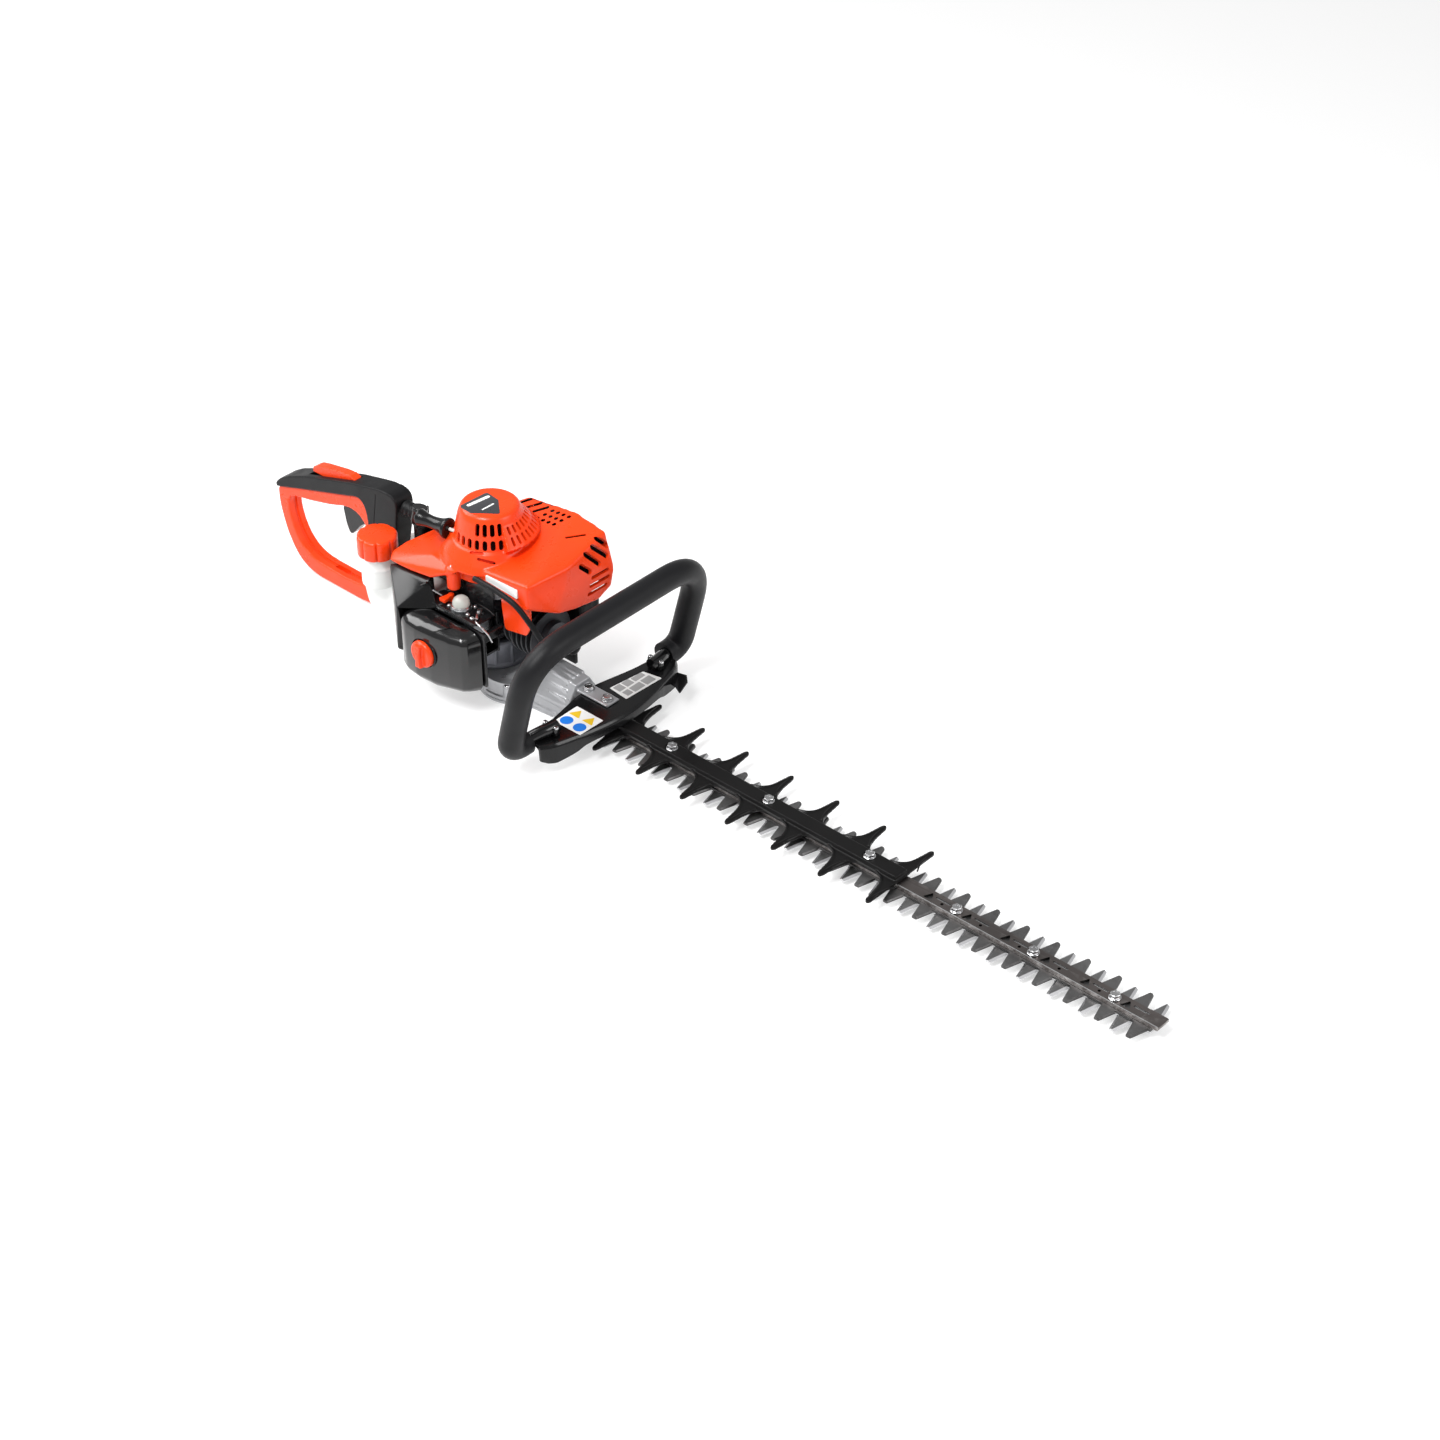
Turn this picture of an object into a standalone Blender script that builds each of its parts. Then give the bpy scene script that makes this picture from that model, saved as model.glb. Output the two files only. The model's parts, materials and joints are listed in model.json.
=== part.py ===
"""Double-sided petrol hedge trimmer as separate solids, in metres.

+X runs forward to the tip of the blades, +Z is up, and the operator's right is -Y.
The origin is on the flat underside of the gear case.
"""
import bmesh
import bpy
from math import cos, pi, radians, sin
from mathutils import Matrix, Vector

GAP = 0.0003

# Cutter
TOOTH_PITCH = 0.035
TEETH_PER_SIDE = 19
FIRST_TOOTH_X = 0.780
BLADE_HALF_WIDTH = 0.0125
TOOTH_REACH = 0.0305
TOOTH_ROOT_HALF = 0.0095
TOOTH_TIP_HALF = 0.0030
BLADE_START_X = 0.1003
BLADE_END_X = 0.7905
LOWER_BLADE_Z = (0.0165, 0.0192)
UPPER_BLADE_Z = (0.0195, 0.0220)
BAR_Z = (0.0223, 0.0265)
BAR_X = (0.0600, 0.7965)
BAR_HALF_WIDTH = 0.009
STROKE_HALF = TOOTH_PITCH / 4
BOLT_RADIUS = 0.0030
BOLT_HOLE_RADIUS = BOLT_RADIUS + GAP
BAR_BOLTS_X = (0.7433, 0.6513, 0.5615)
GUARD_BOLTS_X = (0.4560, 0.3285, 0.2010)

# Blade guard
GUARD_X = (0.0950, 0.4930)
GUARD_Z = (0.0268, 0.0300)
GUARD_RIDGE_TOP = 0.0340
GUARD_TOOTH_PITCH = 0.0589
GUARD_TEETH = 7
GUARD_FIRST_X = 0.1400
GUARD_REACH = 0.0500

# Drive
CRANK_X = -0.0450
DRIVE_X = -0.0085
PINION_TEETH = 11
DRIVE_TEETH = 49
GEAR_MODULE = (DRIVE_X - CRANK_X) * 2 / (PINION_TEETH + DRIVE_TEETH)
GEAR_Z = (0.0228, 0.0290)
CRANK_PIN_RADIUS = 0.0050
CYLINDER_Z = 0.0930
CYLINDER_LENGTH = 0.0640
CYLINDER_BASE_X = CRANK_X + 0.0265
HEAD_X = CYLINDER_BASE_X + CYLINDER_LENGTH
BORE_RADIUS = 0.0125

# Gear case
PAN_X = -0.0135
PAN_RADIUS = 0.0430
CASE_WALL = 0.0035
CASE_LOW_Z = 0.0120
CASE_SPLIT_Z = 0.0158
CASE_TOP_Z = 0.0360
TONGUE_END_X = 0.0790
TONGUE_HALF_WIDTH = 0.0230
GUARD_TOP_Z = 0.0470
CLAMP_Z = (GUARD_TOP_Z + GAP, GUARD_TOP_Z + 0.0033)
CLAMP_END_X = 0.1210
CLAMP_BOLTS_X = (0.0870, 0.1130)

# Handles
LOOP_TUBE_RADIUS = 0.0133
LOOP_HALF_WIDTH = 0.1235
LOOP_TOP = (0.1290, 0.1670)
LOOP_FOOT = (0.0970, 0.0450)
LOOP_END_Y = 0.1000
REAR_HALF_WIDTH = 0.0095
GRIP_HALF_WIDTH = 0.0120


def clear_scene():
    for old in list(bpy.data.objects):
        bpy.data.objects.remove(old, do_unlink=True)


MATERIALS = {}


def material(name, color, roughness, metallic=0.0):
    if name not in MATERIALS:
        made = bpy.data.materials.new(name)
        made.use_nodes = True
        shader = made.node_tree.nodes["Principled BSDF"]
        shader.inputs["Base Color"].default_value = (*color, 1.0)
        shader.inputs["Roughness"].default_value = roughness
        shader.inputs["Metallic"].default_value = metallic
        MATERIALS[name] = made
    return MATERIALS[name]


def orange():
    return material("orange_plastic", (0.86, 0.10, 0.012), 0.35)


def black():
    return material("black_plastic", (0.012, 0.012, 0.014), 0.40)


def rubber():
    return material("black_rubber", (0.020, 0.020, 0.022), 0.75)


def white():
    return material("tank_plastic", (0.72, 0.72, 0.70), 0.45)


def cast():
    return material("cast_aluminium", (0.42, 0.42, 0.44), 0.45, 0.9)


def steel():
    return material("steel", (0.45, 0.45, 0.44), 0.35, 1.0)


def dark_steel():
    return material("dark_steel", (0.10, 0.095, 0.09), 0.45, 0.8)


def clear():
    return material("clear_plastic", (0.80, 0.78, 0.72), 0.15)


def add_mesh(name, verts, faces, finish, origin=(0.0, 0.0, 0.0)):
    """Make one mesh object whose faces point out, with its origin at the given point."""
    shift = Vector(origin)
    mesh = bpy.data.meshes.new(name)
    mesh.from_pydata([Vector(v) - shift for v in verts], [], faces)
    bm = bmesh.new()
    bm.from_mesh(mesh)
    bmesh.ops.recalc_face_normals(bm, faces=bm.faces)
    bm.to_mesh(mesh)
    bm.free()
    mesh.update()
    made = bpy.data.objects.new(name, mesh)
    made.location = shift
    bpy.context.scene.collection.objects.link(made)
    mesh.materials.append(finish)
    mesh.shade_smooth()
    mesh.set_sharp_from_angle(angle=radians(35))
    return made


def loft(name, rings, finish, origin=(0.0, 0.0, 0.0)):
    """Join closed rings that have the same number of points, and cap both ends."""
    count = len(rings[0])
    verts = [point for ring in rings for point in ring]
    faces = []
    for level in range(len(rings) - 1):
        for i in range(count):
            j = (i + 1) % count
            low = level * count
            high = low + count
            faces.append((low + i, low + j, high + j, high + i))
    faces.append(tuple(range(count)))
    faces.append(tuple(range(len(verts) - count, len(verts))))
    return add_mesh(name, verts, faces, finish, origin)


def prism(name, outline, low, high, finish, plane="XY", origin=(0.0, 0.0, 0.0)):
    """Extrude a closed outline across its plane, from low to high."""
    place = {
        "XY": lambda a, b, c: (a, b, c),
        "XZ": lambda a, b, c: (a, c, b),
        "YZ": lambda a, b, c: (c, a, b),
    }[plane]
    rings = [[place(a, b, level) for a, b in outline] for level in (low, high)]
    return loft(name, rings, finish, origin)


def box(name, low, high, finish, origin=(0.0, 0.0, 0.0)):
    outline = [(low[0], low[1]), (high[0], low[1]), (high[0], high[1]), (low[0], high[1])]
    return prism(name, outline, low[2], high[2], finish, origin=origin)


def rounded_box(name, low, high, radius, finish, steps=3):
    """A box with round upright edges and a chamfer along its top and bottom."""
    chamfer = radius * 0.5
    rings = []
    for z, inset in ((low[2], chamfer), (low[2] + chamfer, 0.0), (high[2] - chamfer, 0.0),
                     (high[2], chamfer)):
        rings.append([(x, y, z) for x, y in rounded_rectangle(low, high, radius, inset, steps)])
    return loft(name, rings, finish)


def rounded_rectangle(low, high, radius, inset=0.0, steps=3):
    corners = (
        (high[0] - radius, high[1] - radius, 0),
        (low[0] + radius, high[1] - radius, 90),
        (low[0] + radius, low[1] + radius, 180),
        (high[0] - radius, low[1] + radius, 270),
    )
    outline = []
    for x, y, start in corners:
        for i in range(steps + 1):
            angle = radians(start + 90 * i / steps)
            outline.append((x + (radius - inset) * cos(angle), y + (radius - inset) * sin(angle)))
    return outline


def revolve(name, profile, centre, finish, axis=(0, 0, 1), steps=20, hole=0.0, origin=None):
    """Turn (radius, height) pairs about an axis through centre; hole makes a straight bore."""
    turn = Vector((0, 0, 1)).rotation_difference(Vector(axis)).to_matrix()
    base = Vector(centre)
    rows = list(profile)
    if hole:
        rows = [(hole, profile[0][1])] + rows + [(hole, profile[-1][1])]
    rings = []
    for radius, height in rows:
        ring = []
        for i in range(steps):
            angle = 2 * pi * i / steps
            ring.append(base + turn @ Vector((radius * cos(angle), radius * sin(angle), height)))
        rings.append(ring)
    place = centre if origin is None else origin
    if not hole:
        return loft(name, rings, finish, place)
    verts = [point for ring in rings for point in ring]
    faces = []
    for level in range(len(rings)):
        low = level * steps
        high = ((level + 1) % len(rings)) * steps
        for i in range(steps):
            j = (i + 1) % steps
            faces.append((low + i, low + j, high + j, high + i))
    return add_mesh(name, verts, faces, finish, place)


def rod(name, start, end, radius, finish, steps=12, origin=None):
    along = Vector(end) - Vector(start)
    return revolve(name, [(radius, 0.0), (radius, along.length)], start, finish, along.normalized(), steps,
                   origin=origin)


def hull(name, points, finish):
    mesh = bpy.data.meshes.new(name)
    bm = bmesh.new()
    for point in points:
        bm.verts.new(point)
    result = bmesh.ops.convex_hull(bm, input=bm.verts)
    loose = {item for item in result["geom_interior"] if isinstance(item, bmesh.types.BMVert)}
    bmesh.ops.delete(bm, geom=list(loose), context="VERTS")
    bmesh.ops.recalc_face_normals(bm, faces=bm.faces)
    bm.to_mesh(mesh)
    bm.free()
    made = bpy.data.objects.new(name, mesh)
    bpy.context.scene.collection.objects.link(made)
    mesh.materials.append(finish)
    mesh.shade_smooth()
    mesh.set_sharp_from_angle(angle=radians(25))
    return made


def combine(base, others, operation):
    """Apply one exact Boolean to base for each of the others, and delete them."""
    for other in others:
        cut = base.modifiers.new("cut", "BOOLEAN")
        cut.operation = operation
        cut.solver = "EXACT"
        cut.object = other
        bpy.context.view_layer.update()
        evaluated = base.evaluated_get(bpy.context.evaluated_depsgraph_get())
        result = bpy.data.meshes.new_from_object(evaluated)
        base.modifiers.clear()
        base.data = result
        bpy.data.objects.remove(other, do_unlink=True)
    return base


def union(base, *others):
    return combine(base, others, "UNION")


def cut_away(base, *others):
    return combine(base, others, "DIFFERENCE")


def cylinder_cutter(x, y, low, high, radius, steps=16):
    return rod("cutter", (x, y, low), (x, y, high), radius, black(), steps)


def slot_outline(x, y, half_length, radius, steps=5):
    outline = []
    for centre, start in ((x + half_length, -90), (x - half_length, 90)):
        for i in range(steps + 1):
            angle = radians(start + 180 * i / steps)
            outline.append((centre + radius * cos(angle), y + radius * sin(angle)))
    return outline


def swept_tube(name, points, radius, finish, resolution=2):
    curve = bpy.data.curves.new(name, "CURVE")
    curve.dimensions = "3D"
    curve.bevel_depth = radius
    curve.bevel_resolution = resolution
    curve.use_fill_caps = True
    curve.render_resolution_u = 0
    spline = curve.splines.new("POLY")
    spline.points.add(len(points) - 1)
    for i, point in enumerate(points):
        spline.points[i].co = (*point, 1.0)
    made = bpy.data.objects.new(name, curve)
    bpy.context.scene.collection.objects.link(made)
    curve.materials.append(finish)
    return made


def smooth_route(knots, per_span=5):
    """Points on a Catmull-Rom curve through the knots."""
    ends = [Vector(knots[0])] + [Vector(k) for k in knots] + [Vector(knots[-1])]
    route = []
    for i in range(1, len(ends) - 2):
        a, b, c, d = ends[i - 1:i + 3]
        for step in range(per_span):
            t = step / per_span
            route.append(0.5 * (2 * b + (c - a) * t + (2 * a - 5 * b + 4 * c - d) * t ** 2
                                + (3 * b - 3 * c + d - a) * t ** 3))
    route.append(ends[-2])
    return route


def round_corners(knots, radius, steps=5):
    """Replace each inner corner of a path by an arc-like curve of the given reach."""
    path = [Vector(knots[0])]
    for i in range(1, len(knots) - 1):
        corner = Vector(knots[i])
        before = (Vector(knots[i - 1]) - corner).normalized() * radius[i - 1]
        after = (Vector(knots[i + 1]) - corner).normalized() * radius[i - 1]
        for step in range(steps + 1):
            t = step / steps
            path.append(corner + before * (1 - t) ** 2 + after * t ** 2)
    path.append(Vector(knots[-1]))
    return path


# ---- Cutter --------------------------------------------------------------------------------------

def blade_outline(side):
    """Toothed outline; the teeth on the given side start at FIRST_TOOTH_X, the others half a pitch back."""
    outline = []
    for edge in (-1, 1):
        first = FIRST_TOOTH_X if edge == side else FIRST_TOOTH_X - TOOTH_PITCH / 2
        row = [(BLADE_START_X, edge * BLADE_HALF_WIDTH)]
        for n in reversed(range(TEETH_PER_SIDE)):
            x = first - n * TOOTH_PITCH
            row.append((x - TOOTH_ROOT_HALF, edge * BLADE_HALF_WIDTH))
            row.append((x - TOOTH_TIP_HALF, edge * (TOOTH_REACH - 0.0015)))
            row.append((x - TOOTH_TIP_HALF / 2, edge * TOOTH_REACH))
            row.append((x + TOOTH_TIP_HALF / 2, edge * TOOTH_REACH))
            row.append((x + TOOTH_TIP_HALF, edge * (TOOTH_REACH - 0.0015)))
            row.append((x + TOOTH_ROOT_HALF, edge * BLADE_HALF_WIDTH))
        row.append((BLADE_END_X, edge * BLADE_HALF_WIDTH))
        outline += row if edge == -1 else list(reversed(row))
    return outline


def make_blade(name, side, levels, finish):
    blade = prism(name, blade_outline(side), *levels, finish)
    for x in BAR_BOLTS_X + GUARD_BOLTS_X:
        slot = slot_outline(x, 0.0, STROKE_HALF + GAP, BOLT_HOLE_RADIUS)
        cut_away(blade, prism("cutter", slot, levels[0] - 0.001, levels[1] + 0.001, black()))
    return blade


def make_blade_rod(name, levels):
    """Drive yoke round the crank pin, with a flat arm that runs to the blade."""
    window_x = 2 * STROKE_HALF + CRANK_PIN_RADIUS + 0.0008
    window_y = STROKE_HALF + CRANK_PIN_RADIUS + 0.0008
    rim = 0.0038
    outline = rounded_rectangle((DRIVE_X - window_x - rim, -window_y - rim),
                                (DRIVE_X + window_x + rim, window_y + rim), 0.010, steps=4)
    yoke = prism(name, outline, *levels, dark_steel())
    union(yoke, box("arm", (DRIVE_X + window_x + 0.001, -0.008, levels[0]),
                    (BLADE_START_X - GAP, 0.008, levels[1]), dark_steel()))
    window = rounded_rectangle((DRIVE_X - window_x, -window_y), (DRIVE_X + window_x, window_y), 0.008,
                               steps=4)
    return cut_away(yoke, prism("cutter", window, levels[0] - 0.001, levels[1] + 0.001, black()))


def make_guide_bar():
    low, high = BAR_Z
    outline = [(BAR_X[0], -BAR_HALF_WIDTH), (BAR_X[1], -BAR_HALF_WIDTH),
               (BAR_X[1], BAR_HALF_WIDTH), (BAR_X[0], BAR_HALF_WIDTH)]
    bar = prism("guide_bar", outline, low, high, dark_steel())
    for x in BAR_BOLTS_X + GUARD_BOLTS_X:
        cut_away(bar, cylinder_cutter(x, 0.0, low - 0.001, high + 0.001, BOLT_HOLE_RADIUS))
    return bar


def make_blade_guard():
    low, high = GUARD_Z
    root = 0.0115
    outline = []
    for edge in (-1, 1):
        row = [(GUARD_X[0], edge * root)]
        for n in range(GUARD_TEETH):
            x = GUARD_FIRST_X + n * GUARD_TOOTH_PITCH
            row.append((x - 0.0170, edge * root))
            row.append((x - 0.0080, edge * (root + 0.0080)))
            row.append((x - 0.0024, edge * (GUARD_REACH - 0.0010)))
            row.append((x, edge * GUARD_REACH))
            row.append((x + 0.0024, edge * (GUARD_REACH - 0.0010)))
            row.append((x + 0.0060, edge * (root + 0.0080)))
            end = min(x + 0.0150, GUARD_X[1] - 0.0005)
            row.append((end, edge * root))
        row.append((GUARD_X[1] + 0.0040, edge * root))
        outline += row if edge == -1 else list(reversed(row))
    guard = prism("blade_guard", outline, low, high, black())
    ridge = [(-0.0095, high - 0.0010), (0.0095, high - 0.0010), (0.0080, GUARD_RIDGE_TOP),
             (-0.0080, GUARD_RIDGE_TOP)]
    union(guard, prism("ridge", ridge, GUARD_X[0], GUARD_X[1], black(), plane="YZ"))
    for x in GUARD_BOLTS_X:
        cut_away(guard, cylinder_cutter(x, 0.0, low - 0.001, GUARD_RIDGE_TOP + 0.001, BOLT_HOLE_RADIUS))
    return guard


def make_hex_bolt(name, x, y, nut_z, head_z, across=0.0052):
    """Shank with a hexagon head above and, when nut_z is given, a nut below."""
    shank_low = head_z - 0.012 if nut_z is None else nut_z
    bolt = revolve(name, [(BOLT_RADIUS, shank_low), (BOLT_RADIUS, head_z + 0.001)], (x, y, 0.0), steel(),
                   steps=12)
    union(bolt, revolve("head", [(across, head_z), (across, head_z + 0.0030),
                                 (across * 0.8, head_z + 0.0036)],
                        (x, y, 0.0), steel(), steps=6))
    if nut_z is not None:
        union(bolt, revolve("nut", [(across, nut_z), (across, nut_z + 0.0040)], (x, y, 0.0), steel(),
                            steps=6))
    return bolt


def make_cutter():
    make_blade("upper_blade", -1, UPPER_BLADE_Z, dark_steel())
    make_blade("lower_blade", 1, LOWER_BLADE_Z, steel())
    make_blade_rod("upper_blade_rod", UPPER_BLADE_Z)
    make_blade_rod("lower_blade_rod", LOWER_BLADE_Z)
    make_guide_bar()
    make_blade_guard()
    nut_z = LOWER_BLADE_Z[0] - GAP - 0.0040
    for i, x in enumerate(BAR_BOLTS_X + GUARD_BOLTS_X):
        head_z = (BAR_Z[1] if x in BAR_BOLTS_X else GUARD_RIDGE_TOP) + GAP
        make_hex_bolt(f"blade_bolt_{i + 1}", x, 0.0, nut_z, head_z)


# ---- Drive ---------------------------------------------------------------------------------------

def gear_outline(teeth, phase):
    pitch_radius = GEAR_MODULE * teeth / 2
    outer = pitch_radius + GEAR_MODULE * 0.78
    inner = pitch_radius - GEAR_MODULE * 1.15
    outline = []
    for i in range(teeth):
        for part, radius in ((-0.33, inner), (-0.12, outer), (0.12, outer), (0.33, inner)):
            angle = phase + 2 * pi * (i + part) / teeth
            outline.append((radius * cos(angle), radius * sin(angle)))
    return outline


def make_drive_gear():
    """Reduction gear whose two crank pins, opposite each other, drive the two blade rods."""
    low, high = GEAR_Z
    centre = (DRIVE_X, 0.0, 0.0)
    points = [(DRIVE_X + a, b) for a, b in gear_outline(DRIVE_TEETH, pi / DRIVE_TEETH + pi)]
    gear = prism("drive_gear", points, low, high, steel(), origin=centre)
    pins = ((STROKE_HALF, UPPER_BLADE_Z[0]), (-STROKE_HALF, LOWER_BLADE_Z[0]))
    for y, bottom in pins:
        union(gear, rod("pin", (DRIVE_X, y, bottom), (DRIVE_X, y, low + 0.001), CRANK_PIN_RADIUS, steel(),
                        14))
    union(gear, rod("hub", (DRIVE_X, 0.0, high - 0.001), (DRIVE_X, 0.0, high + 0.0020), 0.0060, steel(),
                    14))
    return gear


def make_clutch_drum():
    """Clutch drum whose stem carries the pinion below."""
    outer, inner, floor_z, top_z = 0.0280, 0.0262, 0.0392, 0.0600
    drum = revolve("clutch_drum", [(outer, floor_z), (outer, top_z), (inner, top_z),
                                   (inner, floor_z + 0.002)],
                   (CRANK_X, 0.0, 0.0), steel(), steps=28)
    points = [(CRANK_X + a, b) for a, b in gear_outline(PINION_TEETH, 0.0)]
    pinion = prism("pinion", points, GEAR_Z[0] - 0.0005, GEAR_Z[1] + 0.0005, steel())
    stem = rod("stem", (CRANK_X, 0.0, GEAR_Z[0] + 0.001), (CRANK_X, 0.0, floor_z + 0.001), 0.0040,
               steel(), 12)
    return union(drum, stem, pinion)


def make_clutch_hub():
    low, high = 0.0450, 0.0580
    hub = revolve("clutch_hub", [(0.0245, low), (0.0245, high)], (CRANK_X, 0.0, 0.0), cast(), steps=24,
                  hole=0.0063)
    for side in (-1, 1):
        cut_away(hub, box("cutter", (CRANK_X + side * 0.012 - 0.0009, side * 0.008 - 0.030, low - 0.001),
                          (CRANK_X + side * 0.012 + 0.0009, side * 0.008 + 0.030, low + 0.004), black()))
    return hub


def make_crankshaft():
    profile = [(0.0060, 0.0440), (0.0060, 0.0830), (0.0180, 0.0830), (0.0180, 0.1030), (0.0060, 0.1030),
               (0.0060, 0.1520)]
    return revolve("crankshaft", profile, (CRANK_X, 0.0, 0.0), steel(), steps=18)


def make_flywheel():
    low, high = 0.1215, 0.1300
    wheel = revolve("flywheel", [(0.0340, low), (0.0340, high), (0.0110, high + 0.002)],
                    (CRANK_X, 0.0, 0.0), cast(),
                    steps=28, hole=0.0063)
    for i in range(10):
        turn = Matrix.Rotation(2 * pi * i / 10, 4, "Z")
        vane = box("vane", (0.0170, -0.0009, high - 0.001), (0.0325, 0.0009, high + 0.0130), cast())
        vane.data.transform(Matrix.Translation((CRANK_X, 0.0, 0.0)) @ turn)
        union(wheel, vane)
    return wheel


def make_crankcase():
    low, high = 0.0683, 0.1180
    case = rounded_box("crankcase", (CRANK_X - 0.030, -0.028, low), (CRANK_X + 0.0262, 0.028, high),
                       0.008, cast())
    cut_away(case, cylinder_cutter(CRANK_X, 0.0, 0.0800, 0.1060, 0.0200, 20))
    cut_away(case, rod("cutter", (CRANK_X, 0.0, CYLINDER_Z), (CRANK_X + 0.030, 0.0, CYLINDER_Z),
                       BORE_RADIUS,
                       black(), 18))
    return cut_away(case, cylinder_cutter(CRANK_X, 0.0, 0.060, 0.130, 0.0063))


def make_cylinder():
    base_x = CYLINDER_BASE_X
    profile = [(0.0200, 0.0), (0.0200, 0.0040), (0.0165, 0.0040)]
    fin, gap, fins = 0.0022, 0.0046, 7
    for i in range(fins):
        start = 0.0110 + i * (fin + gap)
        reach = 0.0250 if i < 2 else 0.0285
        profile += [(0.0165, start), (reach, start), (reach, start + fin), (0.0165, start + fin)]
    profile += [(0.0165, CYLINDER_LENGTH - 0.0020), (0.0090, CYLINDER_LENGTH)]
    barrel = revolve("cylinder", profile, (base_x, 0.0, CYLINDER_Z), cast(), (1, 0, 0), steps=18)
    return cut_away(barrel, rod("cutter", (base_x - 0.001, 0.0, CYLINDER_Z),
                                (base_x + 0.052, 0.0, CYLINDER_Z),
                                BORE_RADIUS, black(), 18))


def make_piston():
    start = CRANK_X + 0.0370
    profile = [(0.0122, 0.0), (0.0122, 0.0200)]
    return revolve("piston", profile, (start, 0.0, CYLINDER_Z), cast(), (1, 0, 0), steps=18)


def make_recoil_reel():
    profile = [(0.0290, 0.1580), (0.0290, 0.1600), (0.0240, 0.1610), (0.0240, 0.1690), (0.0290, 0.1700),
               (0.0290, 0.1720)]
    return revolve("recoil_reel", profile, (CRANK_X, 0.0, 0.0), black(), steps=20, hole=0.0060)


def make_clutch_housing():
    profile = [(0.0350, CASE_TOP_Z + GAP), (0.0350, 0.0680), (0.0063, 0.0680), (0.0063, 0.0650),
               (0.0310, 0.0650),
               (0.0310, CASE_TOP_Z + GAP)]
    steps = 28
    verts = []
    faces = []
    for radius, height in profile:
        for i in range(steps):
            angle = 2 * pi * i / steps
            verts.append((CRANK_X + radius * cos(angle), radius * sin(angle), height))
    for level in range(len(profile)):
        low = level * steps
        high = ((level + 1) % len(profile)) * steps
        for i in range(steps):
            j = (i + 1) % steps
            faces.append((low + i, low + j, high + j, high + i))
    return add_mesh("clutch_housing", verts, faces, cast())


def case_outline(inset, end_x, half_width, steps=20):
    """Round pan with straight sides that run forward along the tongue."""
    radius = PAN_RADIUS - inset
    outline = [(end_x, -half_width), (end_x, half_width)]
    start = 38
    for i in range(steps + 1):
        angle = radians(start + (360 - 2 * start) * i / steps)
        outline.append((PAN_X + radius * cos(angle), radius * sin(angle)))
    return outline


def make_gear_case():
    prism("gear_case_lower", case_outline(0.0, 0.0560, TONGUE_HALF_WIDTH), CASE_LOW_Z, CASE_SPLIT_Z - GAP,
          cast())
    upper = prism("gear_case_upper", case_outline(0.0, TONGUE_END_X, TONGUE_HALF_WIDTH), CASE_SPLIT_Z,
                  CASE_TOP_Z,
                  cast())
    side = TONGUE_HALF_WIDTH
    slope = []
    for x, half, z in ((-0.0085, 0.030, CASE_TOP_Z - 0.001), (TONGUE_END_X, side, CASE_TOP_Z - 0.001),
                       (0.0200, 0.010, 0.0560), (0.0470, 0.010, 0.0600), (TONGUE_END_X, 0.010, 0.0560),
                       (0.0100, side, 0.0300), (TONGUE_END_X, side, 0.0300)):
        slope += [(x, half, z), (x, -half, z)]
    union(upper, hull("ridge", slope, cast()))
    union(upper, box("clamp", (TONGUE_END_X - 0.002, -0.0090, CLAMP_Z[0]),
                     (CLAMP_END_X, 0.0090, CLAMP_Z[1]), cast()))
    for x in CLAMP_BOLTS_X:
        cut_away(upper, cylinder_cutter(x, 0.0, CLAMP_Z[0] - 0.001, CLAMP_Z[1] + 0.001, BOLT_HOLE_RADIUS))
    cut_away(upper, prism("cutter", case_outline(CASE_WALL, 0.0480, TONGUE_HALF_WIDTH - CASE_WALL),
                          CASE_SPLIT_Z - 0.001, 0.0320, black()))
    cut_away(upper, box("cutter", (0.0400, -0.0125, CASE_SPLIT_Z - 0.001),
                        (TONGUE_END_X + 0.001, 0.0125, 0.0268),
                        black()))
    return cut_away(upper, cylinder_cutter(CRANK_X, 0.0, 0.030, 0.038, 0.0050),
                    cylinder_cutter(CRANK_X, 0.0, CASE_TOP_Z + GAP, 0.070, 0.0358, 28))


# ---- Engine --------------------------------------------------------------------------------------

COVER_TOP = (
    (-0.0580, 0.0700, 0.1860), (0.0060, 0.0710, 0.1940), (0.0500, 0.0680, 0.1910), (0.0600, 0.0700, 0.1500),
    (0.0450, -0.0405, 0.1735), (0.0400, -0.0060, 0.1800), (0.0560, 0.0080, 0.1790), (-0.0310, -0.0420,
                                                                                     0.1650),
    (-0.0800, -0.0430, 0.1540), (-0.0980, 0.0200, 0.1620), (-0.0880, 0.0550, 0.1650),
)
COVER_FOOT = (
    (0.0590, 0.0660, 0.1300), (0.0600, 0.0467, 0.1230), (0.0600, 0.0080, 0.1290), (0.0585, -0.0104, 0.1330),
    (0.0455, -0.0405, 0.1460), (-0.0200, -0.0420, 0.1480), (-0.0800, -0.0430, 0.1500), (-0.0980, 0.0300,
                                                                                        0.1250),
    (-0.0860, 0.0600, 0.1250),
)
COVER_SKIRT = (
    (0.0000, 0.1495), (0.0000, 0.1320), (0.0085, 0.1060), (0.0385, 0.1120), (0.0450, 0.1240), (0.0450,
                                                                                               0.1495),
)
SKIRT_Y = (-0.0375, -0.0350)
WING = (
    (-0.1360, -0.0600, 0.1370), (-0.1300, -0.0200, 0.1490), (-0.1200, 0.0050, 0.1560), (-0.0850, 0.0200,
                                                                                        0.1620),
    (-0.0850, -0.0450, 0.1580), (-0.0400, -0.0540, 0.1600), (-0.1034, -0.0605, 0.1385), (-0.0740, -0.0605,
                                                                                         0.1430),
    (-0.0516, -0.0500, 0.1540),
)
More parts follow.
